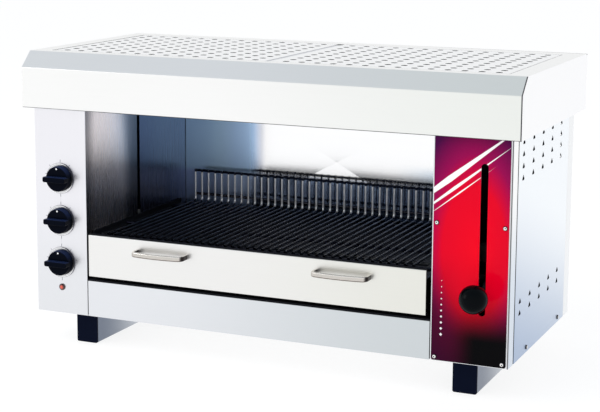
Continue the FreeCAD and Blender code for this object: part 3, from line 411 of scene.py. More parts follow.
def column_zones(finish):
    """The right front is folded back at its corner, where painted shade darkens it. Its side carries a
    painted reflection that is palest high up, and painted shade darkens the lower fold and the inner
    faces.
    """
    side = finish.face_x.rise(*FULLY_RIGHT)
    return ((finish.face_x.rise(*TURNS_RIGHT), COLUMN_CORNER_SHADE), (side, COLUMN_SIDE_REFLECTION_LOW),
            (side * finish.z.rise(*COLUMN_SIDE_CLIMB), COLUMN_SIDE_REFLECTION_HIGH),
            (finish.face_z.rise(*FACES_DOWN), FOLD_SHADE),
            (finish.inside(COLUMN_INNER_POINT), INSIDE_SHADE))


TRAY_SATIN = (0.845, 0.84, 0.825, 1.0)
TRAY_RIGHT_END = (0.79, 0.79, 0.735, 1.0)
TRAY_TONE_SHIFT = mm(-100, 300)
TRAY_INNER_FACE = beside(TRAY.front, 0.6, 1.0)


def tray_zones(finish):
    """The tray's front is a little darker to the right, and painted shade darkens it behind."""
    return ((finish.x.rise(*TRAY_TONE_SHIFT), TRAY_RIGHT_END),
            (finish.y.rise(*TRAY_INNER_FACE), INSIDE_SHADE))


APRON_SATIN = (0.785, 0.80, 0.83, 1.0)
APRON_RIGHT_END = (0.62, 0.66, 0.68, 1.0)
APRON_TONE_SHIFT = mm(-250, 300)
APRON_INNER_FACE = beside(APRON.front, 1.4, 1.8)


def apron_zones(finish):
    """The lower front is darker to the right, with painted shade on its lower fold, its upper flange and
    its inner side.
    """
    return ((finish.x.rise(*APRON_TONE_SHIFT), APRON_RIGHT_END),
            (finish.face_z.rise(*FACES_DOWN), FOLD_SHADE),
            (finish.face_z.rise(*FACES_UP), INSIDE_SHADE),
            (finish.y.rise(*APRON_INNER_FACE), INSIDE_SHADE))


FRAME_SATIN = (0.90, 0.91, 0.92, 1.0)
HOUSING_INNER_POINT = mm(0, 30, 250)


def frame_zones(finish):
    """Painted shade darkens the back and the base towards the inside of the housing."""
    return ((finish.inside(HOUSING_INNER_POINT), INSIDE_SHADE),)


def panel_finishes():
    """Satin steel of the housing's panels and of the tray's front."""
    brushed_steel("hood_steel", ALONG_X, HOOD_SATIN, rough=0.30, seed=1.0, zones=hood_zones).wear(
        "hood_shell")
    brushed_steel("column_steel", ALONG_Z, COLUMN_SATIN, rough=0.33, seed=3.0, zones=column_zones).wear(
        "right_front")
    brushed_steel("tray_steel", ALONG_X, TRAY_SATIN, rough=0.30, seed=5.0, zones=tray_zones).wear(
        "tray_front")
    brushed_steel("apron_steel", ALONG_X, APRON_SATIN, rough=0.30, seed=7.0, zones=apron_zones).wear(
        "lower_front")
    brushed_steel("cover_steel", ALONG_Y, COVER_REFLECTION_BLUE, rough=0.34, seed=9.0, zones=cover_zones).wear(
        "left_cover", "right_cover")
    brushed_steel("vent_steel", ALONG_Y, VENT_SATIN, rough=0.35, seed=11.0, zones=vent_zones).wear(
        "vent_panel_left", "vent_panel_right")
    brushed_steel("frame_steel", ALONG_X, FRAME_SATIN, rough=0.38, seed=13.0, zones=frame_zones).wear(
        "back_panel", "base_pan")
    brushed_steel("vent_frame_steel", ALONG_X, VENT_FRAME_SATIN, rough=0.38, seed=14.0,
                  zones=vent_frame_zones).wear("vent_frame")


# The controls, on the middles of their spindles

CONTROL_FRONT = Box("control_front")
KNOB = Box("knob_bottom")
LOW_SPINDLE, MIDDLE_SPINDLE = Box("spindle_bottom"), Box("spindle_middle")
KNOB_X, KNOB_LOW = LOW_SPINDLE.mid_x, LOW_SPINDLE.mid_z
KNOB_PITCH = MIDDLE_SPINDLE.mid_z - LOW_SPINDLE.mid_z
KNOB_GAPS = 2

PRINT_STEEL_HIGH = (0.83, 0.825, 0.86, 1.0)
PRINT_STEEL_LOW = (0.775, 0.785, 0.81, 1.0)
PRINT_TONE_SHIFT = mm(260, 80)
PRINT_CLOUD_WAVES = (3.0, 3.0, 2.5)
PRINT_INNER_POINT = (KNOB_X, 0.0, 230 * MM)
PRINT_FACE = beside(CONTROL_FRONT.front, 0.5, 0.3)
PRINT_INK = (0.05, 0.055, 0.09, 1.0)
PRINT_STRENGTH = 0.9
PRINT_ROUGH = 0.33

# Each printed mark's angle in degrees, and its inner end, outer end and half width in millimetres
DIAL_MARKS = ((90, 25.8, 30.5, 0.35), (270, 25.8, 30.5, 0.35), (12, 26, 29, 0.3), (52, 26, 29, 0.3),
              (135, 26, 29, 0.3), (168, 26, 29, 0.3))
MARK_SIDE_SOFT, MARK_END_SOFT, MARK_START_SOFT = mm(0.15, 0.1, 1.0)
MARKS_REACH = 38.0 * MM
MARKS_END_SOFT = 1.0 * MM
LINE_HALF = mm(0.25, 0.12)
LINE_START = mm(30.0, 30.5)
LINE_STRENGTH = 0.35
LINE_END_SOFT = 0.1 * MM


def dial_mark(across, up, angle, inner, outer, half):
    """One printed tick on a ray from the middle of a knob."""
    turn = radians(angle)
    aside = abs(across * sin(turn) - up * cos(turn))
    ahead = across * cos(turn) + up * sin(turn)
    radius = distance(across, up)
    start, end, width = mm(inner, outer, half)
    return (aside.rise(width + MARK_SIDE_SOFT, width) * ahead.rise(0.0, MARK_START_SOFT)
            * radius.between(start - MARK_END_SOFT, end + MARK_END_SOFT, MARK_END_SOFT))


def control_front_finish():
    """The column behind the knobs, with its printed dial marks and the fine line between them."""
    finish = Finish("printed_column_steel")
    lines = finish.noise(ALONG_Z, detail=FINE_DETAIL, seed=15.0)
    clouds = finish.noise(PRINT_CLOUD_WAVES, detail=BROAD_DETAIL, seed=16.0)
    steel = finish.mix(finish.z.rise(*PRINT_TONE_SHIFT), PRINT_STEEL_HIGH, PRINT_STEEL_LOW)
    # Painted shade on the lower fold and on the faces towards the inside.
    steel = finish.mix(finish.face_z.rise(*FACES_DOWN), steel, FOLD_SHADE)
    steel = finish.mix(finish.inside(PRINT_INNER_POINT), steel, INSIDE_SHADE)
    steel = finish.shade(steel, steel_tone(lines, clouds))
    across = finish.x - KNOB_X
    from_low = finish.z - KNOB_LOW
    up = from_low.fold(KNOB_PITCH)
    top = KNOB_GAPS * KNOB_PITCH
    joining = abs(across).rise(*LINE_HALF) * distance(across, up).rise(*LINE_START) * LINE_STRENGTH
    marks = joining * from_low.between(-LINE_END_SOFT, top + LINE_END_SOFT, LINE_END_SOFT)
    for mark in DIAL_MARKS:
        marks = marks.over(dial_mark(across, up, *mark))
    marks = marks * from_low.between(-MARKS_REACH, top + MARKS_REACH, MARKS_END_SOFT)
    front = finish.y.rise(*PRINT_FACE)
    base = finish.mix(marks * front * PRINT_STRENGTH, steel, PRINT_INK)
    finish.paint(Base_Color=base, Metallic=1.0, Roughness=steel_roughness(PRINT_ROUGH, lines, clouds),
                 Normal=finish.bump(lines, GRAIN_DEPTH, GRAIN_STRENGTH))
    finish.wear("control_front")


KNOB_BLACK = (0.001, 0.002, 0.006, 1.0)
KNOB_SHEEN = (0.010, 0.018, 0.055, 1.0)
KNOB_DOT = (0.85, 0.86, 0.88, 1.0)
KNOB_UPWARD = (0.1, 0.9)
KNOB_SKIN_WAVES = (900.0, 900.0, 900.0)
KNOB_ROUGH, KNOB_SPECULAR = (0.25, 0.08), 0.03
DOT_FROM_MIDDLE = 16.8 * MM
DOT_RADIUS = mm(1.55, 1.3)
DOT_FACE = beside(KNOB.back, -4.3, -5.3)


def knob_finish():
    """Black moulded knobs with a painted blue sheen on their upper faces, each with a white dot near its
    rim.
    """
    finish = Finish("knob_moulding")
    across = finish.x - KNOB_X
    up = (finish.z - KNOB_LOW).fold(KNOB_PITCH) - DOT_FROM_MIDDLE
    dot = distance(across, up).rise(*DOT_RADIUS) * finish.y.rise(*DOT_FACE)
    skin = finish.noise(KNOB_SKIN_WAVES)
    # Painted sheen: the upper faces are blue.
    base = finish.mix(finish.face_z.rise(*KNOB_UPWARD), KNOB_BLACK, KNOB_SHEEN)
    base = finish.mix(dot, base, KNOB_DOT)
    finish.paint(Base_Color=base, Roughness=skin.swing(*KNOB_ROUGH), Specular_IOR_Level=KNOB_SPECULAR,
                 Normal=finish.bump(skin, METAL_DEPTH, SKIN_STRENGTH))
    finish.wear("knob_bottom", "knob_middle", "knob_top")


RING_BRIGHT = (0.86, 0.86, 0.87, 1.0)
RING_SHADE = (0.05, 0.05, 0.07, 1.0)
RING_EDGE = mm(24.5, 24.8)
RING_LINE_INNER, RING_LINE_OUTER, RING_LINE_SOFT = mm(22.4, 23.1, 0.2)
RING_TONE, RING_ROUGH = (0.94, 0.08), (0.10, 0.08)


def ring_finish():
    """Bright rings behind the knobs, with painted shade on their outer edge and in a line inside it."""
    finish = Finish("ring_plating")
    radius = distance(finish.x - KNOB_X, (finish.z - KNOB_LOW).fold(KNOB_PITCH))
    dark = radius.rise(*RING_EDGE).over(radius.between(RING_LINE_INNER, RING_LINE_OUTER, RING_LINE_SOFT))
    tone = finish.noise(METAL_WAVES, detail=FINE_DETAIL, seed=47.0)
    base = finish.shade(finish.mix(dark, RING_BRIGHT, RING_SHADE), tone.swing(*RING_TONE))
    finish.paint(Base_Color=base, Metallic=1.0, Roughness=tone.swing(*RING_ROUGH),
                 Normal=finish.bump(tone, METAL_DEPTH, METAL_STRENGTH))
    finish.wear("dial_rings")


LENS = Box("pilot_lens")
LENS_LIT, LENS_DEEP = rgb(226, 84, 60), rgb(46, 4, 4)
LENS_GLOW = mm(1.2, 4.2)
LENS_SKIN_WAVES = (500.0, 500.0, 500.0)
LENS_ROUGH, LENS_COAT = 0.12, 0.5


def lens_finish():
    """The red pilot lens, brightest in its middle."""
    finish = Finish("lamp_lens")
    radius = distance(finish.x - LENS.mid_x, finish.z - LENS.mid_z)
    base = finish.mix(radius.rise(*LENS_GLOW), LENS_LIT, LENS_DEEP)
    skin = finish.noise(LENS_SKIN_WAVES)
    finish.paint(Base_Color=base, Roughness=LENS_ROUGH, Coat_Weight=LENS_COAT,
                 Normal=finish.bump(skin, SKIN_DEPTH, METAL_STRENGTH))
    finish.wear("pilot_lens")


# The decorated plate. Shares run from 0 at its lower left corner to 1 at its upper right corner.

PLATE = Box("decorated_plate")

GLOW_SHARES = (0.55, 0.50)
GLOW_REACH_SHARES = (0.85, 0.58)
ENAMEL_STOPS = ((0.0, rgb(240, 2, 32)), (0.5, rgb(222, 1, 36)), (0.74, rgb(146, 6, 76)),
                (1.0, rgb(70, 5, 66)))
PLATE_FOOT_TONE = (0.0, 0.0, 0.0006, 1.0)
PLATE_FOOT_UP_SHARES, PLATE_FOOT_ACROSS_SHARES = (0.34, 0.10), (-0.5, 0.60)
CORNER_TONE = rgb(54, 0, 30)
CORNER_UP_SHARES, CORNER_ACROSS_SHARES = (0.50, 0.16), (0.50, 0.0)
CORNER_STRENGTH = 0.75
PRINT_WHITE = (0.92, 0.90, 0.91, 1.0)
PEEL_WAVES = (260.0, 260.0, 260.0)
ENAMEL_ROUGH, ENAMEL_SPECULAR = (0.08, 0.05), 0.06

BAND_SLOPE = radians(38)
BAND_THICKEST = -20.0 * MM
BAND_EDGE = mm(-0.15, 0.25)
# Each band's place across the slope and half width in millimetres, and how many millimetres along it
# take one off its half width
WHITE_BANDS = ((-64, 4.6, 30), (-79, 2.4, 45), (-88.5, 1.1, 60))

DIAMOND_PITCH, DIAMOND_HALF = mm(9.0, 2.4)
DIAMOND_ROW_X = PLATE.left + 14.5 * MM
DIAMOND_ROW_LOW = PLATE.low + 40.0 * MM
DIAMOND_SHRINK = 1.2 / 60
DIAMOND_EDGE = mm(-0.15, 0.15)
DIAMOND_ROW_START, DIAMOND_ROW_END = mm(-5.0, -4.4), mm(86.0, 85.0)
DIAMOND_STRENGTH = 0.9


def plate_bands(finish):
    """Slanted white bands across the upper left corner, thinner towards their ends."""
    from_left, from_top = finish.x - PLATE.left, finish.z - PLATE.high
    ahead = from_left * cos(BAND_SLOPE) + from_top * sin(BAND_SLOPE)
    aside = from_top * cos(BAND_SLOPE) - from_left * sin(BAND_SLOPE)
    bands = None
    for place, half, taper in WHITE_BANDS:
        width = half * MM - abs(ahead - BAND_THICKEST) / taper
        band = (width - abs(aside - place * MM)).rise(*BAND_EDGE)
        bands = band if bands is None else bands.over(band)
    return bands


def plate_diamonds(finish):
    """An upright row of small white diamonds near the left edge, smaller from its foot up."""
    along = finish.z - DIAMOND_ROW_LOW
    half = DIAMOND_HALF - along.over(0.0) * DIAMOND_SHRINK
    from_middle = abs(along.fold(DIAMOND_PITCH)) + abs(finish.x - DIAMOND_ROW_X)
    diamonds = (half - from_middle).rise(*DIAMOND_EDGE)
    return diamonds * along.rise(*DIAMOND_ROW_START) * along.rise(*DIAMOND_ROW_END)


def plate_finish():
    """Glossy red enamel that darkens to the corners, with slanted white bands and a row of diamonds."""
    finish = Finish("red_enamel")
    across = (finish.x - PLATE.left) / (PLATE.right - PLATE.left)
    up = (finish.z - PLATE.low) / (PLATE.high - PLATE.low)
    from_glow = distance((across - GLOW_SHARES[0]) / GLOW_REACH_SHARES[0],
                         (up - GLOW_SHARES[1]) / GLOW_REACH_SHARES[1])
    red = finish.ramp(from_glow, ENAMEL_STOPS)
    foot = up.rise(*PLATE_FOOT_UP_SHARES) * across.rise(*PLATE_FOOT_ACROSS_SHARES)
    red = finish.mix(foot, red, PLATE_FOOT_TONE)
    corner = across.rise(*CORNER_ACROSS_SHARES) * up.rise(*CORNER_UP_SHARES)
    red = finish.mix(corner * CORNER_STRENGTH, red, CORNER_TONE)
    white = plate_bands(finish).over(plate_diamonds(finish) * DIAMOND_STRENGTH)
    base = finish.mix(white, red, PRINT_WHITE)
    peel = finish.noise(PEEL_WAVES, detail=BROAD_DETAIL)
    finish.paint(Base_Color=base, Roughness=peel.swing(*ENAMEL_ROUGH),
                 Specular_IOR_Level=ENAMEL_SPECULAR,
                 Normal=finish.bump(peel, METAL_DEPTH, ENAMEL_STRENGTH))
    finish.wear("decorated_plate")


# The chamber and the tray's pan

LEFT_WALL = Box("chamber_left_wall")
BACK_WALL = Box("chamber_back")

# Painted reflections, a painted highlight and painted shade on the chamber's left wall.
LEFT_WALL_LOW = (0.21, 0.22, 0.31, 1.0)
LEFT_WALL_HIGH = (0.135, 0.155, 0.240, 1.0)
LEFT_WALL_FRONT = (0.38, 0.38, 0.42, 1.0)
LEFT_WALL_HIGHLIGHT = (1.0, 0.91, 0.90, 1.0)
LEFT_WALL_SHADE = (0.10, 0.105, 0.13, 1.0)
LEFT_WALL_EDGE_SHADE = (0.10, 0.10, 0.12, 1.0)
LEFT_WALL_CLIMB = mm(150, 340)
BEFORE_SLIT = mm(18, 12)
PATCH_Y, PATCH_Z = mm(-92, 270)
PATCH_DEPTH, PATCH_HEIGHT = mm(90, 200)
PATCH_FALL = (1.0, 0.25)
SLIT_SHADE, SLIT_SHADE_STRENGTH = mm(-45, 12), 0.8
FRONT_EDGE_SHADE, FRONT_EDGE_STRENGTH = mm(-120, -152), 0.6
LEFT_WALL_REAR_SEAM = beside(LEFT_WALL.back, -1.5, -0.7)
LEFT_WALL_OUTER_FACE = (0.0, -0.2)
LEFT_WALL_STRENGTH = 0.04


def left_wall_zones(finish):
    """Painted reflections make the wall warm before the slit and blue behind it, with a painted
    highlight in a soft patch high up and painted shade by the slit, along the front edge, in the rear
    seam and on the outer face.
    """
    before_slit = finish.y.rise(*BEFORE_SLIT)
    patch = ((finish.y - PATCH_Y) / PATCH_DEPTH) ** 2.0 + ((finish.z - PATCH_Z) / PATCH_HEIGHT) ** 2.0
    return ((finish.z.rise(*LEFT_WALL_CLIMB), LEFT_WALL_HIGH), (before_slit, LEFT_WALL_FRONT),
            (patch.rise(*PATCH_FALL) * before_slit, LEFT_WALL_HIGHLIGHT),
            (finish.y.rise(*SLIT_SHADE) * before_slit * SLIT_SHADE_STRENGTH, LEFT_WALL_SHADE),
            (finish.y.rise(*FRONT_EDGE_SHADE) * FRONT_EDGE_STRENGTH, LEFT_WALL_EDGE_SHADE),
            (finish.y.rise(*LEFT_WALL_REAR_SEAM), INSIDE_SHADE),
            (finish.face_x.rise(*LEFT_WALL_OUTER_FACE), INSIDE_SHADE))


RIGHT_WALL_LOW = (0.24, 0.27, 0.33, 1.0)
RIGHT_WALL_HIGH = (0.52, 0.55, 0.60, 1.0)
RIGHT_WALL_CLIMB = mm(160, 400)
RIGHT_WALL_OUTER_FACE = (0.0, 0.2)
BELOW_RACK = mm(194, 186)


def right_wall_zones(finish):
    """Paler high up, with painted shade below the rack and outside."""
    return ((finish.z.rise(*RIGHT_WALL_CLIMB), RIGHT_WALL_HIGH),
            (finish.face_x.rise(*RIGHT_WALL_OUTER_FACE), INSIDE_SHADE),
            (finish.z.rise(*BELOW_RACK), INSIDE_SHADE))


BACK_WALL_BRIGHT = (0.94, 0.94, 0.945, 1.0)
BACK_WALL_BLUE = (0.40, 0.60, 0.86, 1.0)
BACK_WALL_SKY_REFLECTION = (0.56, 0.82, 1.0, 1.0)
BACK_WALL_CLOUD_REFLECTION = (0.60, 0.70, 0.80, 1.0)
BACK_WALL_FOOT = (0.44, 0.58, 0.84, 1.0)
BLUE_PART, SKY_PART = mm(-145, -175), mm(-200, -250)
CLOUD_PART, CLOUD_CLIMB = mm(80, 200), mm(285, 262)
FOOT_CLIMB = mm(250, 238)
BACK_WALL_LEFT_SEAM = beside(BACK_WALL.left, 2.0, 1.3)
HAZE_PART, HAZE = mm(-150, -190), 0.22
BACK_WALL_STRENGTH = 0.12


def back_wall_zones(finish):
    """Painted reflections: blue at the left, bright from there on, grey-blue low at the right and bluer
    again lower down, with painted shade in the left seam.
    """
    return ((finish.x.rise(*BLUE_PART), BACK_WALL_BLUE), (finish.x.rise(*SKY_PART), BACK_WALL_SKY_REFLECTION),
            (finish.x.rise(*CLOUD_PART) * finish.z.rise(*CLOUD_CLIMB), BACK_WALL_CLOUD_REFLECTION),
            (finish.z.rise(*FOOT_CLIMB), BACK_WALL_FOOT),
            (finish.x.rise(*BACK_WALL_LEFT_SEAM), INSIDE_SHADE))


def back_wall_haze(finish):
    """The polish is duller at the left."""
    return HAZE * finish.x.rise(*HAZE_PART)


CHAMBER_FLOOR_DARK = (0.10, 0.105, 0.12, 1.0)
CHAMBER_FLOOR_FRONT = mm(-60, -100)
REFLECTOR_BRIGHT = (0.78, 0.79, 0.80, 1.0)
REFLECTOR_UPPER_POINT = mm(0, 20, 600)
PAN_DARK = (0.16, 0.17, 0.20, 1.0)


def chamber_floor_zones(finish):
    """Painted shade towards the front, below the tray."""
    return ((finish.y.rise(*CHAMBER_FLOOR_FRONT), INSIDE_SHADE),)


def reflector_zones(finish):
    """Painted shade on its upper side."""
    return ((finish.inside(REFLECTOR_UPPER_POINT), INSIDE_SHADE),)


def chamber_finishes():
    """Polished steel inside, with painted reflections that make it bluer in places and painted shade
    that makes it dull in others.
    """
    brushed_steel("left_wall_steel", ALONG_Z, LEFT_WALL_LOW, rough=0.26, seed=21.0,
                  zones=left_wall_zones, strength=LEFT_WALL_STRENGTH).wear("chamber_left_wall")
    brushed_steel("right_wall_steel", ALONG_Z, RIGHT_WALL_LOW, rough=0.26, seed=23.0,
                  zones=right_wall_zones).wear("chamber_right_wall")
    brushed_steel("back_wall_steel", ALONG_X, BACK_WALL_BRIGHT, rough=0.10, seed=25.0,
                  zones=back_wall_zones, strength=BACK_WALL_STRENGTH, haze=back_wall_haze).wear(
        "chamber_back")
    brushed_steel("chamber_floor_steel", ALONG_X, CHAMBER_FLOOR_DARK, rough=0.45, seed=27.0,
                  zones=chamber_floor_zones).wear("chamber_floor")
    brushed_steel("reflector_steel", ALONG_X, REFLECTOR_BRIGHT, rough=0.18, seed=29.0,
                  zones=reflector_zones).wear("reflector")
    brushed_steel("pan_steel", ALONG_X, PAN_DARK, rough=0.22, seed=31.0).wear("tray_pan", "tray_walls")


# Fittings, the rack, the feet and the pieces inside the housing

MOULDED_WAVES = (1400.0, 1400.0, 1400.0)
MOULDED_TONE = (0.85, 0.3)
MOULDED_GLOSS_SPREAD = 0.1
METAL_GLOSS_SPREAD = 0.08


def moulded(name, colour, rough, depth=SKIN_DEPTH, **extra):
    """Moulded plastic or paint with a fine skin."""
    finish = Finish(name)
    skin = finish.noise(MOULDED_WAVES)
    base = finish.shade(colour, skin.swing(*MOULDED_TONE))
    gloss = skin.swing(rough - MOULDED_GLOSS_SPREAD / 2, MOULDED_GLOSS_SPREAD)
    return finish.paint(Base_Color=base, Roughness=gloss,
                        Normal=finish.bump(skin, depth, SKIN_STRENGTH), **extra)


def worked_metal(name, colour, rough, spread, waves=METAL_WAVES):
    """Plain metal, with its tone and gloss varied by one noise."""
    finish = Finish(name)
    tone = finish.noise(waves, detail=FINE_DETAIL)
    base = finish.shade(colour, tone.swing(1 - spread / 2, spread))
    gloss = tone.swing(rough - METAL_GLOSS_SPREAD / 2, METAL_GLOSS_SPREAD)
    return finish.paint(Base_Color=base, Metallic=1.0, Roughness=gloss,
                        Normal=finish.bump(tone, METAL_DEPTH, METAL_STRENGTH))


NICKEL = (0.82, 0.79, 0.74, 1.0)
NICKEL_UNDERSIDE_REFLECTION = (0.07, 0.04, 0.025, 1.0)
NICKEL_END_SHADE = (0.03, 0.025, 0.025, 1.0)
HANDLE_BELOW, HANDLE_END = (0.30, -0.50), (0.45, 0.8)
HANDLE_WAVES = (60.0, 400.0, 400.0)
HANDLE_TONE, HANDLE_ROUGH = (0.92, 0.16), (0.20, 0.06)


def handle_finish():
    """Nickel with a painted dark reflection on its underside and painted shade at its ends."""
    finish = Finish("handle_nickel")
    tone = finish.noise(HANDLE_WAVES, seed=41.0)
    base = finish.mix(finish.face_z.rise(*HANDLE_BELOW), NICKEL, NICKEL_UNDERSIDE_REFLECTION)
    base = finish.mix(finish.face_x.rise(*HANDLE_END), base, NICKEL_END_SHADE)
    base = finish.shade(base, tone.swing(*HANDLE_TONE))
    finish.paint(Base_Color=base, Metallic=1.0, Roughness=tone.swing(*HANDLE_ROUGH),
                 Normal=finish.bump(tone, METAL_DEPTH, POLISHED_STRENGTH))
    finish.wear("tray_handle_left", "tray_handle_right")


PLATE_SCREWS, COVER_SCREWS = Box("plate_screws"), Box("cover_screws")
# From the outer side of a row of screws to the middle of its last socket
SOCKET_INSET = 3.2 * MM
SCREW_RIM_SHADE = (0.07, 0.07, 0.08, 1.0)
SCREW_CROWN_HIGHLIGHT = (0.90, 0.89, 0.87, 1.0)
SOCKET_RADIUS = mm(1.2, 1.0)
SCREW_FLAT = (0.97, 0.998)
SCREW_WAVES = (500.0, 500.0, 500.0)
SCREW_TONE, SCREW_ROUGH = (0.9, 0.2), (0.20, 0.1)


def half_pitch(low, high):
    """Half of the distance between the sockets of the two screws at the ends of a span."""
    return (high - low) / 2 - SOCKET_INSET


def screw_finish(name, facing, aside, up):
    """A plated screw with a painted highlight on its flat crown, painted shade on its rim and a dark
    socket of painted shade in its middle.

    Facing picks the axis that it points along. Aside and up give the distances from its middle.
    """
    finish = Finish(name)
    socket = distance(aside(finish), up(finish)).rise(*SOCKET_RADIUS)
    crown = abs(facing(finish)).rise(*SCREW_FLAT) * (1.0 - socket)
    tone = finish.noise(SCREW_WAVES, seed=43.0)
    base = finish.shade(finish.mix(crown, SCREW_RIM_SHADE, SCREW_CROWN_HIGHLIGHT), tone.swing(*SCREW_TONE))
    return finish.paint(Base_Color=base, Metallic=1.0, Roughness=tone.swing(*SCREW_ROUGH),
                        Normal=finish.bump(tone, METAL_DEPTH, POLISHED_STRENGTH))


def screw_finishes():
    """The screws of the plate and the handles point forwards, and those of the covers sideways."""
    half_across = half_pitch(PLATE_SCREWS.left, PLATE_SCREWS.right)
    half_up = half_pitch(PLATE_SCREWS.low, PLATE_SCREWS.high)
    half_along = half_pitch(COVER_SCREWS.front, COVER_SCREWS.back)
    screw_finish("plate_screw_plating", lambda finish: finish.face_y,
                 lambda finish: abs(finish.x - PLATE_SCREWS.mid_x) - half_across,
                 lambda finish: abs(finish.z - PLATE_SCREWS.mid_z) - half_up).wear(
        "plate_screws", "handle_screws")
    screw_finish("cover_screw_plating", lambda finish: finish.face_x,
                 lambda finish: abs(finish.y - COVER_SCREWS.mid_y) - half_along,
                 lambda finish: finish.z - COVER_SCREWS.mid_z).wear("cover_screws")


RACK, FENCE = Box("rack_grid"), Box("rack_fence")
FENCE_SHADE = (0.012, 0.016, 0.034, 1.0)
FENCE_HIGHLIGHT = (0.97, 0.98, 1.0, 1.0)
UPRIGHT_FOOT = beside(RACK.high, -0.2, 1.8)
UPRIGHT_TIP = beside(FENCE.high, -4.3, -5.3)
BEFORE_RAILS = beside(FENCE.back, -4.4, -4.8)
FENCE_TONE, FENCE_ROUGH = (0.88, 0.16), (0.30, 0.1)


def fence_finish():
    """The fence's uprights carry a painted highlight, and its rails and the feet of its uprights painted
    shade.
    """
    finish = Finish("fence_plating")
    tone = finish.noise(METAL_WAVES, detail=FINE_DETAIL, seed=45.0)
    upright = finish.z.rise(*UPRIGHT_FOOT) * finish.z.rise(*UPRIGHT_TIP) * finish.y.rise(*BEFORE_RAILS)
    base = finish.shade(finish.mix(upright, FENCE_SHADE, FENCE_HIGHLIGHT), tone.swing(*FENCE_TONE))
    finish.paint(Base_Color=base, Metallic=1.0, Roughness=tone.swing(*FENCE_ROUGH),
                 Normal=finish.bump(tone, METAL_DEPTH, METAL_STRENGTH))
    finish.wear("rack_fence")


FOOT_REFLECTION_DARK = (0.19, 0.22, 0.28, 1.0)
FOOT_REFLECTION_PALE = (0.74, 0.77, 0.81, 1.0)
FOOT_TONE_SHIFT = mm(-115, 90)


def foot_zones(finish):
    """A painted reflection makes the feet paler to the back."""
    return ((finish.y.rise(*FOOT_TONE_SHIFT), FOOT_REFLECTION_PALE),)


GLAND = (0.86, 0.86, 0.86)
RACK_PLATING = (0.018, 0.020, 0.036)
CARRIAGE_BLACK = (0.010, 0.011, 0.015)
ZINC = (0.62, 0.63, 0.64)
BLACKENED = (0.012, 0.013, 0.017)
HEATER_OXIDE = (0.12, 0.11, 0.11)
GROUND_BAR = (0.66, 0.66, 0.67)
SPRING_WIRE = (0.42, 0.42, 0.44)
CAP_RUBBER = (0.002, 0.004, 0.014)
BALL_BLACK = (0.001, 0.002, 0.003)
BROWN_RESIN = (0.10, 0.045, 0.025)
SPANGLE_WAVES = (90.0, 90.0, 90.0)
OXIDE_WAVES = (250.0, 250.0, 250.0)
TURNED_WAVES = (1500.0, 1500.0, 30.0)
BALL_SKIN_DEPTH = 0.003 * MM


def small_finishes():
    """Finishes of the fittings, the rack, the feet and the pieces inside the housing."""
    handle_finish()
    screw_finishes()
    ring_finish()
    worked_metal("gland_plating", GLAND, rough=0.14, spread=0.06).wear("cable_gland")
    worked_metal("rack_plating", RACK_PLATING, rough=0.24, spread=0.4).wear("rack_grid")
    moulded("carriage_steel", CARRIAGE_BLACK, rough=0.4, Specular_IOR_Level=0.1).wear("carriage_frame")
    fence_finish()
    worked_metal("zinc_plating", ZINC, rough=0.36, waves=SPANGLE_WAVES, spread=0.25).wear(
        "element_hangers", "guide_brackets", "spring_hangers", "slider_left", "slider_right")
    moulded("blackened_steel", BLACKENED, rough=0.5, Specular_IOR_Level=0.08).wear(
        "lever_arm", "tray_runners")
    worked_metal("heater_oxide", HEATER_OXIDE, rough=0.5, waves=OXIDE_WAVES, spread=0.5).wear(
        "element_front", "element_middle", "element_rear")
    brushed_steel("foot_steel", ALONG_Y, FOOT_REFLECTION_DARK, rough=0.34, seed=33.0, zones=foot_zones).wear(
        "foot_left", "foot_right")
    worked_metal("ground_bar", GROUND_BAR, rough=0.2, waves=TURNED_WAVES, spread=0.1).wear(
        "guide_rod_left", "guide_rod_right", "spindle_bottom", "spindle_middle", "spindle_top")
    worked_metal("spring_wire", SPRING_WIRE, rough=0.3, spread=0.2).wear("spring_left", "spring_right")
    moulded("cap_rubber", CAP_RUBBER, rough=0.42, Specular_IOR_Level=0.03).wear("foot_caps")
    moulded("ball_moulding", BALL_BLACK, rough=0.08, depth=BALL_SKIN_DEPTH,
            Specular_IOR_Level=0.045).wear("ball_knob")
    moulded("brown_resin", BROWN_RESIN, rough=0.45).wear(
        "switch_bottom", "switch_middle", "switch_top", "terminal_block", "pilot_body")
    lens_finish()


# Floor, light and camera

FLOOR_SIZE = 60.0
FLOOR_TONE = (0.24, 0.24, 0.24, 1.0)
FLOOR_GLOW = 0.80
FLOOR_CLOUD_WAVES = (0.6, 0.6, 0.6)
FLOOR_SWING, FLOOR_ROUGH = (0.99, 0.02), 0.9


def plain_floor():
    """A plain white floor, level with the undersides of the feet."""
    bpy.ops.mesh.primitive_plane_add(size=FLOOR_SIZE, location=(0.0, 0.0, 0.0))
    floor = bpy.context.object
    floor.name = "studio_floor"
    paint = Finish("floor_paint")
    cloud = paint.noise(FLOOR_CLOUD_WAVES, detail=BROAD_DETAIL)
    paint.paint(Base_Color=paint.shade(FLOOR_TONE, cloud.swing(*FLOOR_SWING)), Roughness=FLOOR_ROUGH,
                Specular_IOR_Level=0.0, Emission_Color=WHITE, Emission_Strength=FLOOR_GLOW)
    floor.data.materials.append(paint.material)


# The room's light by height, with 0 straight below and 1 straight above
ROOM_STOPS = ((0.25, WHITE), (0.85, (0.685, 0.725, 0.775, 1.0)))


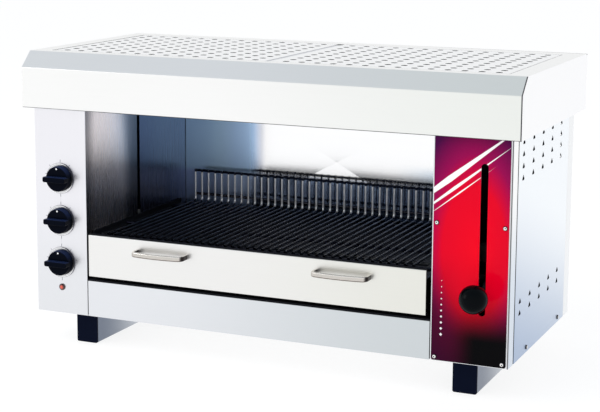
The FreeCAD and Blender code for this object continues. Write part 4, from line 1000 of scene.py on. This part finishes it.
def room():
    """A white room that is a little darker and bluer overhead."""
    world = bpy.data.worlds.new("studio")
    world.use_nodes = True
    tree = world.node_tree
    tree.nodes.clear()
    spot = tree.nodes.new("ShaderNodeTexCoord")
    split = tree.nodes.new("ShaderNodeSeparateXYZ")
    ramp = tree.nodes.new("ShaderNodeValToRGB")
    for element, (place, colour) in zip(ramp.color_ramp.elements, ROOM_STOPS):
        element.position = place
        element.color = colour
    back = tree.nodes.new("ShaderNodeBackground")
    end = tree.nodes.new("ShaderNodeOutputWorld")
    tree.links.new(spot.outputs["Generated"], split.inputs[0])
    tree.links.new(split.outputs[2], ramp.inputs[0])
    tree.links.new(ramp.outputs[0], back.inputs[0])
    tree.links.new(back.outputs[0], end.inputs[0])
    bpy.context.scene.world = world


# Each softbox's name, place, aim, side, power in watts, and whether polished faces mirror it
SOFTBOXES = (("top_softbox", (-0.8, -1.6, 2.6), (0.0, 0.0, 0.2), 2.2, 26.0, False),
             ("left_softbox", (-2.2, -1.6, 1.3), (0.0, 0.0, 0.25), 1.2, 9.0, True))


def softboxes():
    """Soft light from above and from the left."""
    for name, place, aim, size, power, glossy in SOFTBOXES:
        data = bpy.data.lights.new(name, "AREA")
        data.shape = "SQUARE"
        data.size = size
        data.energy = power
        lamp = bpy.data.objects.new(name, data)
        lamp.location = place
        lamp.rotation_euler = (Vector(aim) - Vector(place)).to_track_quat("-Z", "Y").to_euler()
        lamp.visible_glossy = glossy
        bpy.context.scene.collection.objects.link(lamp)
    settings = bpy.context.scene.view_settings
    settings.view_transform = "Standard"
    settings.look = "None"


CAMERA_PLACE = (0.9971, -2.2936, 0.7369)
CAMERA_YAW, CAMERA_PITCH, CAMERA_ROLL = radians(-23.445), radians(-9.165), radians(0.347)
CAMERA_LENS, CAMERA_SENSOR = 94.333, 36.0
CAMERA_SHIFT = -0.1
CAMERA_REACH = 100.0


def camera():
    """The camera at the place, turn and lens that the photograph's edges give."""
    ahead = Vector((sin(CAMERA_YAW) * cos(CAMERA_PITCH), cos(CAMERA_YAW) * cos(CAMERA_PITCH),
                    sin(CAMERA_PITCH)))
    level = Vector((cos(CAMERA_YAW), -sin(CAMERA_YAW), 0.0))
    upward = level.cross(ahead)
    right = level * cos(CAMERA_ROLL) + upward * sin(CAMERA_ROLL)
    up = upward * cos(CAMERA_ROLL) - level * sin(CAMERA_ROLL)
    data = bpy.data.cameras.new("camera")
    data.sensor_fit = "HORIZONTAL"
    data.sensor_width = CAMERA_SENSOR
    data.lens = CAMERA_LENS
    data.shift_y = CAMERA_SHIFT
    data.clip_end = CAMERA_REACH
    made = bpy.data.objects.new("camera", data)
    turn = Matrix((right, up, -ahead)).transposed().to_4x4()
    made.matrix_world = Matrix.Translation(CAMERA_PLACE) @ turn
    bpy.context.scene.collection.objects.link(made)
    bpy.context.scene.camera = made


camera()
plain_floor()
room()
softboxes()
panel_finishes()
control_front_finish()
knob_finish()
plate_finish()
chamber_finishes()
small_finishes()
